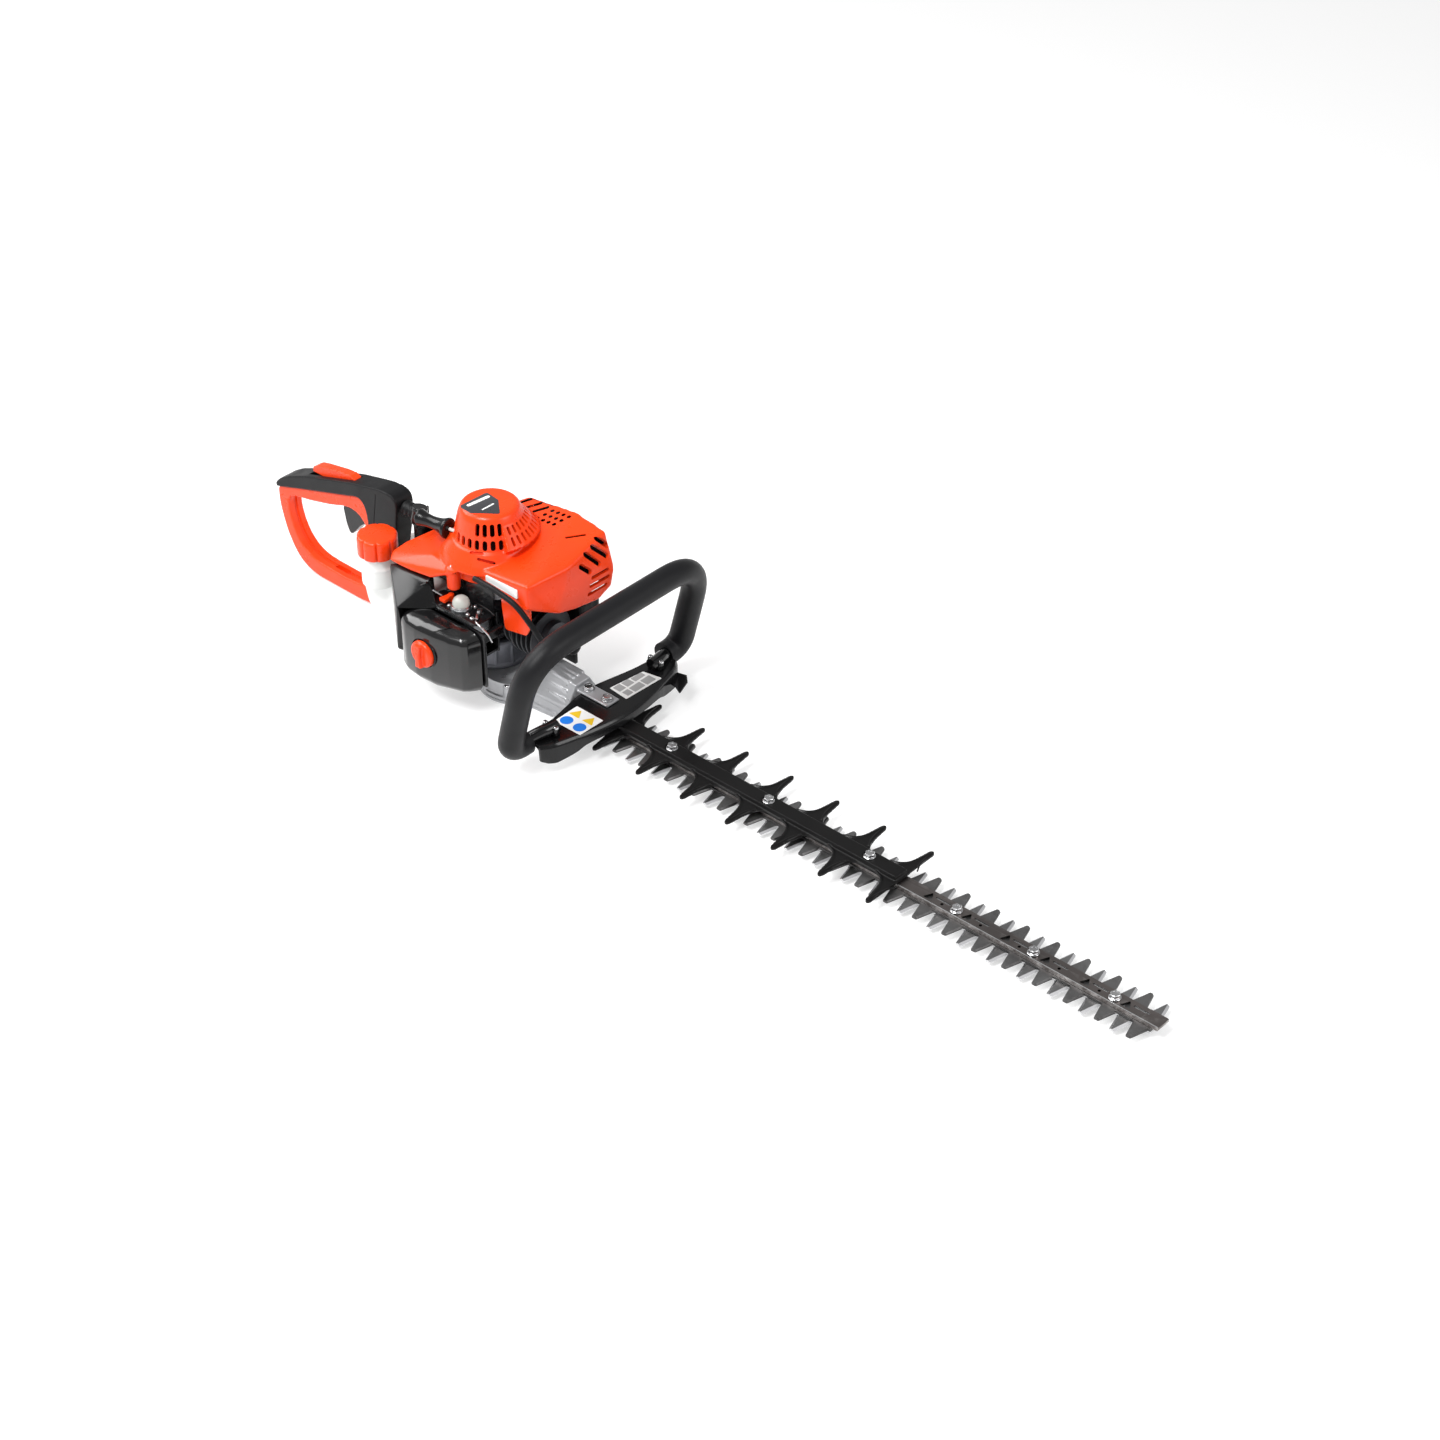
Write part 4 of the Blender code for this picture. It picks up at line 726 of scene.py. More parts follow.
def make_blade_guard():
    """Black pressed guard over the inner blade, with ribbed blunt fingers on both sides."""
    low = GUARD_LOW_Z
    corners = []
    for edge in (-1, 1):
        row = [(GUARD_X[0], edge * 0.0112)]
        for x in GUARD_TEETH_X:
            row += guard_tooth(x, edge)
        row = [(min(x, GUARD_X[1] + 0.0035), y) for x, y in row] + [(GUARD_X[1] + 0.0038, edge * 0.0112)]
        corners += row if edge == -1 else list(reversed(row))
    outline = rounded_outline(corners, 0.02, 3)
    sheet = prism("blade_guard_pressed", outline, low, low + 0.003)
    ridge = hull("ridge", [(x, y * side, z) for x in (GUARD_X[0] + 0.0005, GUARD_X[1] + 0.002)
        for side in (-1, 1) for y, z in ((0.0098, low + 0.001), (0.009, low + 0.005), (0.008, 0.0338))])
    shells = [ridge]
    for x in GUARD_TEETH_X:
        for edge in (-1, 1):
            knots = [(x - 0.0004, edge * 0.0455, low + 0.0026), (x - 0.0022, edge * 0.035, low + 0.0029),
                (x - 0.005, edge * 0.024, low + 0.0032), (x - 0.011, edge * 0.0152, low + 0.0036),
                (x - 0.0215, edge * 0.0105, low + 0.0034)]
            if x > GUARD_TEETH_X[0]:
                shells.append(tube("rib", spline(knots), 0.0011, 10))
            knots = [(x + 0.0004, edge * 0.0455, low + 0.0026), (x + 0.0018, edge * 0.035, low + 0.0029),
                (x + 0.0042, edge * 0.024, low + 0.0032), (x + 0.0085, edge * 0.015, low + 0.0036)]
            shells.append(tube("rib", spline(knots), 0.001, 10))
    guard = fused(sheet, *shells, voxel=0.0008, rounds=3)
    holes = [bore((x, 0.0), 0.0028, low - 0.001, 0.035, 24) for x in GUARD_BOLTS_X]
    seats = [bore((x, 0.0), 0.0074, 0.0331, 0.035, 32) for x in GUARD_BOLTS_X]
    carved(guard, joined(*holes))
    carved(guard, joined(*seats))
    settle(guard, "black_coated_steel", COATED_AND_PAINTED_SHADE, "blade_guard")


def make_bolt(name, x, nut_z, head_z, node, across=0.0052, tall=0.0036, seat=0.0):
    """Hexagon bolt with a chamfered head, a washer, a point of thread and, when nut_z is given, a nut."""
    shank_low = head_z - 0.0028 if nut_z is None else nut_z - 0.0001
    shank = revolve(name, [(0.002, shank_low), (0.0022, shank_low + 0.0003), (0.0022, head_z + 0.0005)],
        (x, 0.0, 0.0))
    z = head_z - seat
    washer = revolve("washer", [(across + 0.0005, z), (across + 0.0007, z + 0.0002),
        (across + 0.0007, z + 0.0006), (across + 0.0004, z + 0.0008)], (x, 0.0, 0.0), steps=36)
    head = revolve("head", [(across, z + 0.0008), (across, head_z + tall - 0.0007),
        (across * 0.88, head_z + tall)], (x, 0.0, 0.0), steps=6)
    there = Matrix.Translation((x, 0, 0))
    back = Matrix.Translation((-x, 0, 0))
    turned(head, there @ Matrix.Rotation(HEAD_TURN, 4, "Z") @ back)
    parts = [washer, bevelled(head, 0.0002, 2)]
    if nut_z is not None:
        nut = revolve("nut", [(across * 0.9, nut_z), (across, nut_z + 0.0006), (across, nut_z + 0.004)],
            (x, 0.0, 0.0), steps=6)
        parts.append(bevelled(nut, 0.0002, 2))
    united(shank, *parts)
    carved(shank, revolve("dimple", [(0.0026, head_z + tall - 0.0005), (0.003, head_z + tall + 0.0005)],
        (x, 0.0, 0.0), steps=24))
    settle(shank, "bolt_steel", STEEL, node, angle=25)


def make_bolts():
    """Six blade bolts with nuts under the blades, and two clamp bolts."""
    nut_z = LOWER_BLADE_Z[0] - GAP - 0.004
    for i, x in enumerate(BAR_BOLTS_X + GUARD_BOLTS_X):
        on_bar = x in BAR_BOLTS_X
        head_z = (BAR_Z[1] if on_bar else GUARD_RIDGE_TOP) + GAP
        make_bolt(f"blade_bolt_{i + 1}_head", x, nut_z, head_z, f"blade_bolt_{i + 1}",
            seat=0.0014 if on_bar else 0.001)
    for i, x in enumerate(CLAMP_BOLTS_X):
        make_bolt(f"clamp_bolt_{i + 1}_head", x, None, CLAMP_Z[1] + GAP, f"clamp_bolt_{i + 1}", 0.0056,
            0.004)


# ---- Drive ---------------------------------------------------------------------------------------

def case_outline(inset, end_x, half_width, steps=48):
    """Round pan with straight sides that run forward along the tongue."""
    radius = PAN_RADIUS - inset
    outline = [(end_x, -half_width), (end_x, half_width)]
    start = 38
    for i in range(steps + 1):
        angle = radians(start + (360 - 2 * start) * i / steps)
        outline.append((PAN_X + radius * cos(angle), radius * sin(angle)))
    return outline


def make_gear_case():
    """Cast case: bottom cover, pan with six ears, and a ribbed tongue that carries the clamp plate."""
    low, split, top = CASE_Z
    lower = prism("gear_case_base_cover", case_outline(0.0, 0.056, 0.023), low, split - GAP)
    bevelled(lower, 0.0007, 2)
    settle(lower, "cast_aluminium", CAST, "gear_case_lower")
    upper = prism("gear_case_cast", case_outline(0.0, TONGUE_END_X, 0.023), split, split + 0.0045)
    shells = [prism("pan", case_outline(0.0022, TONGUE_END_X - 0.001, 0.0212), split + 0.001, top)]
    slope = []
    for x, half, z in ((-0.0085, 0.03, top - 0.001), (TONGUE_END_X, 0.0225, top - 0.001),
            (0.02, 0.01, 0.056), (0.047, 0.01, 0.06), (TONGUE_END_X, 0.01, 0.056), (0.01, 0.0225, 0.03),
            (TONGUE_END_X, 0.0225, 0.03)):
        slope += [(x, half, z), (x, -half, z)]
    shells.append(hull("ridge", slope))
    shells.append(box("clamp", (TONGUE_END_X - 0.002, -0.0088, CLAMP_Z[0] + 0.0001),
        (CLAMP_END_X - 0.0002, 0.0088, CLAMP_Z[1] - 0.0001)))
    for side in (-1, 1):
        for y, start, end in ((0.003, 0.024, 0.074), (0.0105, 0.02, 0.074), (0.0158, 0.014, 0.075),
                (0.02, 0.008, 0.0765)):
            rise = 0.06 if y < 0.01 else 0.06 - (y - 0.01) * 1.75
            shells.append(hull("rib", [(x, side * (y + d), z) for x, z in ((start, 0.034),
                (start + 0.016, rise), (end - 0.004, rise - 0.0006), (end, 0.034))
                for d in (-0.0012, 0.0012)]))
    for angle in EAR_ANGLES:
        spot = (PAN_X + EAR_REACH * cos(radians(angle)), EAR_REACH * sin(radians(angle)))
        shells.append(revolve("ear", [(0.0042, split + 0.001), (0.0042, top - 0.003)], (*spot, 0.0),
            steps=24))
    fused(upper, *shells, voxel=0.0008, rounds=3)
    nose = prism("cutter", [(0.122, -0.01), (0.118, -0.01), (0.122, -0.005)], 0.045, 0.053)
    carved(upper, nose)
    carved(upper, joined(*[bore((x, 0), 0.003, 0.046, 0.052) for x in CLAMP_BOLTS_X]))
    carved(upper, prism("cutter", case_outline(0.003, 0.048, 0.02), split - 0.001, 0.032))
    carved(upper, box("cutter", (0.04, -0.0125, split - 0.001), (TONGUE_END_X + 0.001, 0.0125, 0.0268)))
    carved(upper, bore(CRANK, 0.005, 0.03, 0.038))
    carved(upper, bore(CRANK, 0.0358, top + GAP, 0.07, 64))
    settle(upper, "cast_aluminium", CAST, "gear_case_upper")
    for i, angle in enumerate(EAR_ANGLES):
        spot = (PAN_X + EAR_REACH * cos(radians(angle)), EAR_REACH * sin(radians(angle)))
        make_screw(f"case_screw_{i + 1}", (*spot, top - 0.0031), (0, 0, 1), 0.0034)
    make_clutch_housing()


def make_screw(name, seat, axis, radius=0.003, tall=None):
    """Pan-head screw with a round socket."""
    tall = tall or radius * 0.75
    profile = [(radius * 0.6, -0.0012), (radius, 0.0), (radius, tall * 0.35), (radius * 0.86, tall * 0.8),
        (radius * 0.6, tall), (radius * 0.42, tall), (radius * 0.38, tall * 0.35),
        (radius * 0.1, tall * 0.3)]
    screw = revolve(name, profile, seat, axis, steps=24)
    settle(screw, "bolt_steel", STEEL)


def make_clutch_housing():
    """Round ribbed housing between the gear case and the crankcase."""
    base = CASE_Z[2] + GAP
    profile = [(0.035, base), (0.035, base + 0.004), (0.0338, base + 0.0055), (0.0332, 0.0645),
        (0.032, 0.0672), (0.0296, 0.068), (0.012, 0.068), (0.0064, 0.068)]
    shell = revolve("clutch_housing_cast", profile, (*CRANK, 0.0), steps=96)
    ribs = []
    for i in range(12):
        angle = 2 * pi * (i + 0.5) / 12
        out = Vector((cos(angle), sin(angle), 0.0))
        side = Vector((-sin(angle), cos(angle), 0.0)) * 0.001
        middle = Vector((*CRANK, 0.0))
        points = [middle + out * r + side * s + Vector((0, 0, z)) for s in (-1, 1)
            for r, z in ((0.0325, base + 0.002), (0.0349, base + 0.002), (0.0325, 0.064), (0.0343, 0.06))]
        ribs.append(hull("rib", points))
    fused(shell, *ribs, voxel=0.0008, rounds=2)
    carved(shell, bore(CRANK, 0.0308, base - 0.002, 0.065, 64))
    carved(shell, bore(CRANK, 0.0066, 0.06, 0.07))
    settle(shell, "cast_aluminium", CAST_GREY, "clutch_housing")


# ---- Engine --------------------------------------------------------------------------------------

COVER_TOP = ((-0.058, 0.07, 0.186), (0.006, 0.071, 0.194), (0.05, 0.068, 0.191), (0.06, 0.07, 0.15),
    (0.045, -0.0405, 0.1735), (0.04, -0.006, 0.18), (0.056, 0.008, 0.179), (-0.031, -0.042, 0.165),
    (-0.08, -0.043, 0.154), (-0.098, 0.02, 0.162), (-0.088, 0.055, 0.165))
COVER_FOOT = ((0.059, 0.066, 0.13), (0.06, 0.0467, 0.123), (0.06, 0.008, 0.129), (0.0585, -0.0104, 0.133),
    (0.0455, -0.0405, 0.146), (-0.02, -0.042, 0.148), (-0.08, -0.043, 0.15), (-0.098, 0.03, 0.125),
    (-0.086, 0.06, 0.125))
COVER_SKIRT = ((0.0, 0.1495), (0.0, 0.132), (0.0085, 0.106), (0.0385, 0.112), (0.045, 0.124),
    (0.045, 0.1495))
SKIRT_Y = (-0.0375, -0.035)
WING = ((-0.136, -0.06, 0.137), (-0.13, -0.02, 0.149), (-0.12, 0.005, 0.156), (-0.085, 0.02, 0.162),
    (-0.085, -0.045, 0.158), (-0.04, -0.054, 0.16), (-0.1034, -0.0605, 0.1385), (-0.074, -0.0605, 0.143),
    (-0.0516, -0.05, 0.154))
WING_REAR = ((-0.142, -0.05, 0.14), (-0.1385, -0.033, 0.145))
WING_FOOT = ((-0.13, -0.055, 0.1345), (-0.1034, -0.056, 0.1365), (-0.074, -0.056, 0.1405),
    (-0.12, 0.0, 0.135), (-0.056, -0.048, 0.15))
DOME = ((0.043, 0.145), (0.043, 0.162), (0.0402, 0.1725), (0.0376, 0.181), (0.0372, 0.1835), (0.036, 0.192),
    (0.0342, 0.201), (0.0322, 0.209), (0.03, 0.214), (0.0272, 0.2163), (0.02, 0.2166))
DOME_COLLAR = ((0.03, 0.15), (0.052, 0.16), (0.048, 0.168), (0.044, 0.174), (0.04, 0.18), (0.03, 0.183))
COVER_WALL = 0.0028
BOSS = (-0.052, -0.048)


def shrunk(points, wall):
    """The same points moved towards their middle by about one wall."""
    middle = sum((Vector(p) for p in points), Vector()) / len(points)
    moved = []
    for p in points:
        away = Vector(p) - middle
        moved.append(middle + away * (1 - 1.6 * wall / away.length))
    return moved


def stadium(length, width, steps=6):
    """Long hole outline about the origin, along its first axis."""
    reach = (length - width) / 2
    outline = []
    for centre, start in ((reach, -90), (-reach, 90)):
        for i in range(steps + 1):
            angle = radians(start + 180 * i / steps)
            outline.append((centre + width / 2 * cos(angle), width / 2 * sin(angle)))
    return outline


def long_hole(start, end, width, into, depth=0.01, proud=0.006):
    """Cutter for a long hole that runs from start to end and goes in along a direction."""
    start, end = Vector(start), Vector(end)
    along = (end - start).normalized()
    into = Vector(into)
    into = (into - along * into.dot(along)).normalized()
    side = into.cross(along)
    outline = stadium((end - start).length + width * 0.8, width)
    middle = (start + end) / 2
    return loft("hole", [[middle + along * a + side * b + into * d for a, b in outline]
        for d in (-proud, depth)])


def dome_holes():
    """Two rows of upright holes round the dome."""
    cutters = []
    rows = ((0.21, 0.1965, range(-67, -20, 13), 0.0335, 0.0046),
        (0.1925, 0.183, range(-106, -20, 13), 0.0372, 0.005))
    for high, low, angles, radius, width in rows:
        for angle in angles:
            out = Vector((cos(radians(angle)), sin(radians(angle)), 0.0))
            centre = Vector((*CRANK, 0.0))
            top = centre + out * (radius - 0.002) + Vector((0, 0, high - width * 0.4))
            foot = centre + out * (radius + 0.001) + Vector((0, 0, low + width * 0.4))
            cutters.append(long_hole(foot, top, width, -out, 0.007, 0.005))
    for near, far, angles in ((0.0345, 0.039, range(-14, 77, 10)), (0.042, 0.047, range(-14, 77, 9))):
        for angle in angles:
            out = Vector((cos(radians(angle)), sin(radians(angle)), 0.0))
            ends = [Vector((*CRANK, 0.207 - (r - 0.0325) * 1.14)) + out * r for r in (near, far)]
            cutters.append(long_hole(*ends, 0.003, (0, 0, -1), 0.008, 0.005))
    return joined(*cutters)


def top_holes():
    """Long holes over the cylinder on the left and in front, with a grid of small ones between."""
    down = (0.0, 0.0, -1.0)
    cutters = []
    for x, y in ((-0.0616, 0.06), (-0.0478, 0.058), (-0.0361, 0.056)):
        cutters.append(long_hole((x, y - 0.004, 0.186), (x + 0.009, y + 0.007, 0.186), 0.0046, down))
    for row in range(3):
        for column in range(4):
            x = -0.0245 + column * 0.0078 + row * 0.003
            y = 0.045 + row * 0.0078
            cutters.append(long_hole((x, y, 0.189), (x + 0.0006, y + 0.0008, 0.189), 0.0048, down))
    cutters.append(long_hole((0.0251, 0.0361, 0.1885), (0.0374, 0.0508, 0.19), 0.003, down))
    front = (-0.8, 0.0, -0.6)
    for start, end in (((0.0494, 0.0541, 0.1877), (0.0539, 0.0664, 0.1753)),
            ((0.0503, 0.0444, 0.1832), (0.0561, 0.0622, 0.1664)),
            ((0.0495, 0.033, 0.179), (0.0571, 0.0496, 0.1634)), ((0.0536, 0.0234, 0.1711),
            (0.0579, 0.0357, 0.161))):
        cutters.append(long_hole(start, end, 0.0056, front, 0.012, 0.008))
    for z, y0, y1 in ((0.153, 0.038, 0.06), (0.145, 0.0345, 0.06), (0.137, 0.031, 0.056)):
        cutters.append(long_hole((0.0585, y0, z), (0.0595, y1, z), 0.004, (-1, 0, 0), 0.01, 0.008))
    return joined(*cutters)


def make_engine_cover():
    """Cover skin with the starter dome, side wing, screw boss, vents and a skirt in front."""
    cover = fused(hull("engine_cover_shell", COVER_TOP + COVER_FOOT), voxel=0.0015, rounds=16)
    dome = revolve("dome", DOME, (*CRANK, 0.0), steps=96)
    wing = fused(hull("wing", WING + WING_REAR + WING_FOOT), voxel=0.0012, rounds=12)
    boss = revolve("boss", [(0.007, 0.135), (0.007, 0.1594)], (*BOSS, 0.0), steps=32)
    collar = revolve("collar", DOME_COLLAR, (*CRANK, 0.0), steps=96)
    fan = hull("fan", [Vector((CRANK[0] + r * cos(radians(a)), CRANK[1] + r * sin(radians(a)), z))
        for a in range(-24, 85, 12) for r, z in ((0.0325, 0.207), (0.05, 0.187), (0.03, 0.17))])
    fused(cover, dome, collar, fan, wing, boss, voxel=0.0011, rounds=5)
    core = shrunk(COVER_TOP, COVER_WALL) + [Vector((x * 0.94, y * 0.93, z - 0.02))
        for x, y, z in COVER_FOOT]
    core_hull = hull("cutter", core)
    core_faces = [(face.normal.copy(), face.center.copy()) for face in core_hull.data.polygons]
    carved(cover, core_hull)
    inner = [(radius - COVER_WALL, height - COVER_WALL) for radius, height in DOME]
    carved(cover, revolve("cutter", inner, (*CRANK, 0.0), steps=64))
    wing_core = shrunk(WING, COVER_WALL) + [Vector((x + 0.004, y * 0.92, z - 0.012))
        for x, y, z in WING_FOOT]
    carved(cover, hull("cutter", wing_core))
    carved(cover, dome_holes())
    carved(cover, top_holes())
    carved(cover, rod("cutter", ROPE_START - PULL_AXIS * 0.03, ROPE_START + PULL_AXIS * 0.012, 0.0042, 24))
    skirt = bevelled(prism("skirt", rounded_outline([(max(x, 0.005), z) for x, z in COVER_SKIRT], 0.004),
        *SKIRT_Y, "XZ"), 0.0004, 2)
    shelf = box("shelf", (0.0, -0.0412, 0.1475), (0.045, SKIRT_Y[0] + 0.001, 0.1495))
    united(cover, skirt, shelf)
    for start, end in (((-0.0351, -0.038, 0.1791), (-0.0237, -0.033, 0.1803)),
            ((-0.0265, -0.0365, 0.1746), (-0.0133, -0.027, 0.1711))):
        carved(cover, long_hole(start, end, 0.003, (0.1, 0.9, -0.5), 0.0022, 0.006))
    # Painted shade: the faces inside the cover's core, apart from the skirt, take the black plastic, so
    # that the vents read dark.
    surfaced(cover, ORANGE, BLACK)
    for face in cover.data.polygons:
        inside = all(normal.dot(face.center - point) < 0.0004 for normal, point in core_faces)
        if inside and face.center.y > SKIRT_Y[1] + 0.0005:
            face.material_index = 1
    settle(cover, "orange_plastic", ORANGE, "engine_cover")
    make_screw("cover_screw", (*BOSS, 0.1594), (0, 0, 1), 0.0036)
    make_badge()


def make_badge():
    """Blank dark shield let into the dome's top, with two plain bars."""
    corners = [(-0.062, -0.0254), (-0.06, 0.011), (-0.041, 0.0085), (-0.0215, -0.0085), (-0.0445, -0.027)]
    shield = prism("dome_badge", rounded_outline(corners, 0.003), 0.2155, 0.21685)
    bevelled(shield, 0.0002, 2)
    settle(shield, "black_plastic", BADGE_DARK)
    for i, (a, b) in enumerate((((-0.056, -0.019), (-0.053, 0.006)), ((-0.04, -0.015), (-0.0395, 0.0)))):
        bar = long_hole((*a, 0.2168), (*b, 0.2168), 0.004 - 0.0022 * i, (0, 0, -1), 0.0001, 0.00012)
        settle(bar, "black_plastic", STICKER_WHITE)
    stripe = prism("side_label", rounded_outline([(-0.011, 0.1585), (0.033, 0.156), (0.033, 0.166),
        (-0.011, 0.165)], 0.001, 3), -0.0424, -0.0409, "XZ")
    settle(stripe, "orange_plastic", STICKER_WHITE)


PULL_AXIS = Vector((-0.993, -0.119, 0.0)).normalized()
ROPE_START = Vector((-0.077, -0.0225, 0.18))
ROPE_LENGTH = 0.028
GRIP_GAP = 0.0045


def make_starter():
    """Waisted pull grip on its rope, which comes out of a flanged guide."""
    end = ROPE_START + PULL_AXIS * GRIP_GAP
    profile = [(0.003, 0.0), (0.0096, 0.0001), (0.0108, 0.001), (0.0112, 0.0028), (0.0106, 0.0044),
        (0.0092, 0.0075), (0.0076, 0.0125), (0.0066, 0.018), (0.0064, 0.0235), (0.0069, 0.0295),
        (0.008, 0.0345), (0.0089, 0.0375), (0.0089, 0.0386), (0.008, 0.0398), (0.004, 0.04)]
    grip = revolve("starter_grip_moulded", profile, end, PULL_AXIS, 64)
    settle(grip, "black_plastic", BLACK, "starter_grip", body="starter")
    inner = end - PULL_AXIS * ROPE_LENGTH
    outer = end - PULL_AXIS * GAP
    rope = rod("starter_rope_braided", inner, outer, 0.0018, 24)
    settle(rope, "rope_nylon", ROPE, "starter_rope", body=None)
    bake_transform(rope)


def make_cylinder():
    """Finned barrel with its plug, boot and lead."""
    base_x = CRANK[0] + 0.0265
    length = 0.064
    profile = [(0.02, 0.0), (0.02, 0.004), (0.0165, 0.0044)]
    for i in range(7):
        start = 0.011 + i * 0.0068
        reach = 0.025 if i < 2 else 0.0285
        profile += [(0.0165, start), (reach - 0.0004, start + 0.0002), (reach, start + 0.0006),
            (reach, start + 0.0016), (reach - 0.0004, start + 0.002), (0.0165, start + 0.0022)]
    profile += [(0.0165, length - 0.002), (0.009, length)]
    barrel = revolve("cylinder_finned", profile, (base_x, 0.0, CYLINDER_Z), (1, 0, 0), 64)
    carved(barrel, rod("cutter", (base_x - 0.001, 0.0, CYLINDER_Z), (base_x + 0.052, 0.0, CYLINDER_Z),
        0.0125, 48))
    settle(barrel, "cast_aluminium", CAST_DARK, "cylinder", angle=30)
    head_x = base_x + length
    plug = [(0.005, 0.0), (0.005, 0.0038), (0.0078, 0.004), (0.008, 0.0048), (0.008, 0.0084),
        (0.0078, 0.009), (0.0042, 0.0094), (0.004, 0.011), (0.0036, 0.013), (0.004, 0.015), (0.004, 0.02)]
    settle(revolve("spark_plug_turned", plug, (head_x + GAP, 0.0, CYLINDER_Z), (1, 0, 0), 48), "bolt_steel",
        STEEL, "spark_plug", angle=30)
    boot = [(0.0072, 0.0), (0.0077, 0.0006), (0.008, 0.003), (0.0085, 0.008), (0.0085, 0.0138),
        (0.0076, 0.0155), (0.005, 0.0168), (0.002, 0.017)]
    cap = revolve("plug_boot_moulded", boot, (head_x + 0.0096, 0.0, CYLINDER_Z), (1, 0, 0), 48)
    carved(cap, rod("cutter", (head_x + 0.008, 0.0, CYLINDER_Z), (head_x + 0.0206, 0.0, CYLINDER_Z), 0.0043,
        32))
    settle(cap, "black_rubber", RUBBER, "plug_boot")
    boot_x = head_x + 0.02
    route = [(-0.023, -0.0465, 0.158), (0.01, -0.048, 0.158), (0.034, -0.0455, 0.15), (0.052, -0.04, 0.128),
        (0.061, -0.031, 0.104), (boot_x - 0.001, -0.019, 0.095), (boot_x, -0.0095, CYLINDER_Z)]
    settle(tube("ignition_lead_sheathed", spline(route, 10), 0.0029, 20), "black_rubber", RUBBER,
        "ignition_lead")


def make_crankcase():
    """Ribbed cast block with four bosses, bored for the crank and the piston."""
    case = box("crankcase_cast", (CRANK[0] - 0.0297, -0.0277, 0.0686), (CRANK[0] + 0.0259, 0.0277, 0.1177))
    bevelled(case, 0.006, 5)
    shells = []
    for angle in (40, 140, 220, 320):
        spot = (CRANK[0] + 0.0235 * cos(radians(angle)) * 1.05, 0.025 * sin(radians(angle)) * 1.4)
        shells.append(revolve("boss", [(0.0042, 0.07), (0.0042, 0.1172)],
            (spot[0] - 0.001, spot[1] * 0.98, 0.0), steps=24))
    for z in (0.08, 0.09, 0.1, 0.109):
        shells.append(box("rib", (CRANK[0] - 0.023, -0.0279, z), (CRANK[0] + 0.02, 0.0279, z + 0.0016)))
    fused(case, *shells, voxel=0.0009, rounds=2)
    carved(case, bore(CRANK, 0.02, 0.08, 0.106))
    carved(case, rod("cutter", (CRANK[0], 0.0, CYLINDER_Z), (CRANK[0] + 0.03, 0.0, CYLINDER_Z), 0.0125, 32))
    carved(case, bore(CRANK, 0.0063, 0.06, 0.13, 24))
    settle(case, "cast_aluminium", CAST_DARK, "crankcase")


DEFLECTOR = ((-0.009, 0.0777), (0.052, 0.0777), (0.047, 0.0735), (0.032, 0.0615), (0.014, 0.0475),
    (-0.009, 0.0475))
DEFLECTOR_Y = (0.033, 0.06)
DEFLECTOR_FIN = ((-0.002, 0.048, 0.024), (0.0205, 0.052, 0.05))


def make_exhaust():
    """Pressed muffler, the deflector below it with its fin, and the ignition coil."""
    muffler = box("muffler_pressed", (-0.0098, 0.0322, 0.0782), (0.0478, 0.0608, 0.1178))
    bevelled(muffler, 0.0055, 4)
    united(muffler, bevelled(box("seam", (-0.01, 0.0458, 0.078), (0.048, 0.0474, 0.118)), 0.0006, 2))
    carved(muffler, rod("cutter", (0.02, 0.04, 0.07), (0.02, 0.04, 0.082), 0.005, 24))
    settle(muffler, "black_coated_steel", COATED_AND_PAINTED_SHADE, "muffler")
    for i, (x, z) in enumerate(((-0.002, 0.112), (0.04, 0.085))):
        make_screw(f"muffler_screw_{i + 1}", (x, 0.0608, z), (0, 1, 0), 0.0032)
    deflector = hull("exhaust_deflector_moulded", [(x, y, z) for y in DEFLECTOR_Y for x, z in DEFLECTOR])
    bevelled(deflector, 0.0016, 3)
    united(deflector, bevelled(box("fin", *DEFLECTOR_FIN), 0.0006, 2))
    slots = [long_hole((x, 0.06, 0.072), (x + 0.003, 0.06, 0.062), 0.003, (0, -1, 0), 0.003, 0.004)
        for x in (0.005, 0.011, 0.017, 0.023)]
    carved(deflector, joined(*slots))
    settle(deflector, "black_plastic", GRAINED, "exhaust_deflector")
    coil = box("ignition_coil_moulded", (-0.06, 0.037, 0.1215), (-0.036, 0.05, 0.138))
    bevelled(coil, 0.0014, 3)
    settle(coil, "black_plastic", GRAINED, "ignition_coil")


# ---- Intake --------------------------------------------------------------------------------------

FILTER_X = (-0.092, 0.0045)
FILTER_Y = (-0.097, -0.068)
FILTER_Z = (0.04, 0.112)
KNOB_CENTRE = (-0.05, -0.095, 0.08)
BULB = (-0.038, -0.0525)
CHOKE_PIVOT = (-0.056, -0.049)
THROTTLE_PIVOT = (-0.017, -0.047)
INTAKE_X = -0.026
INTAKE_Z = 0.101


def filter_cover_outline(inset):
    """Front face bulges out: the outline in XY, seen from above."""
    left = FILTER_X[0] + inset
    right = FILTER_X[1] - inset
    outer = FILTER_Y[0] + inset
    inner = FILTER_Y[1]
    corners = [(left, inner), (left, outer + 0.014), (left + 0.004, outer + 0.006),
        (left + 0.014, outer + 0.0015), (left + 0.03, outer), (left + 0.05, outer + 0.0015),
        (right - 0.0245, outer + 0.0065), (right - 0.0105, outer + 0.0115), (right - 0.006, outer + 0.016),
        (right, inner)]
    return rounded_outline(corners, [0.0001] + [0.02] * 6 + [0.006, 0.006, 0.0001], 5)


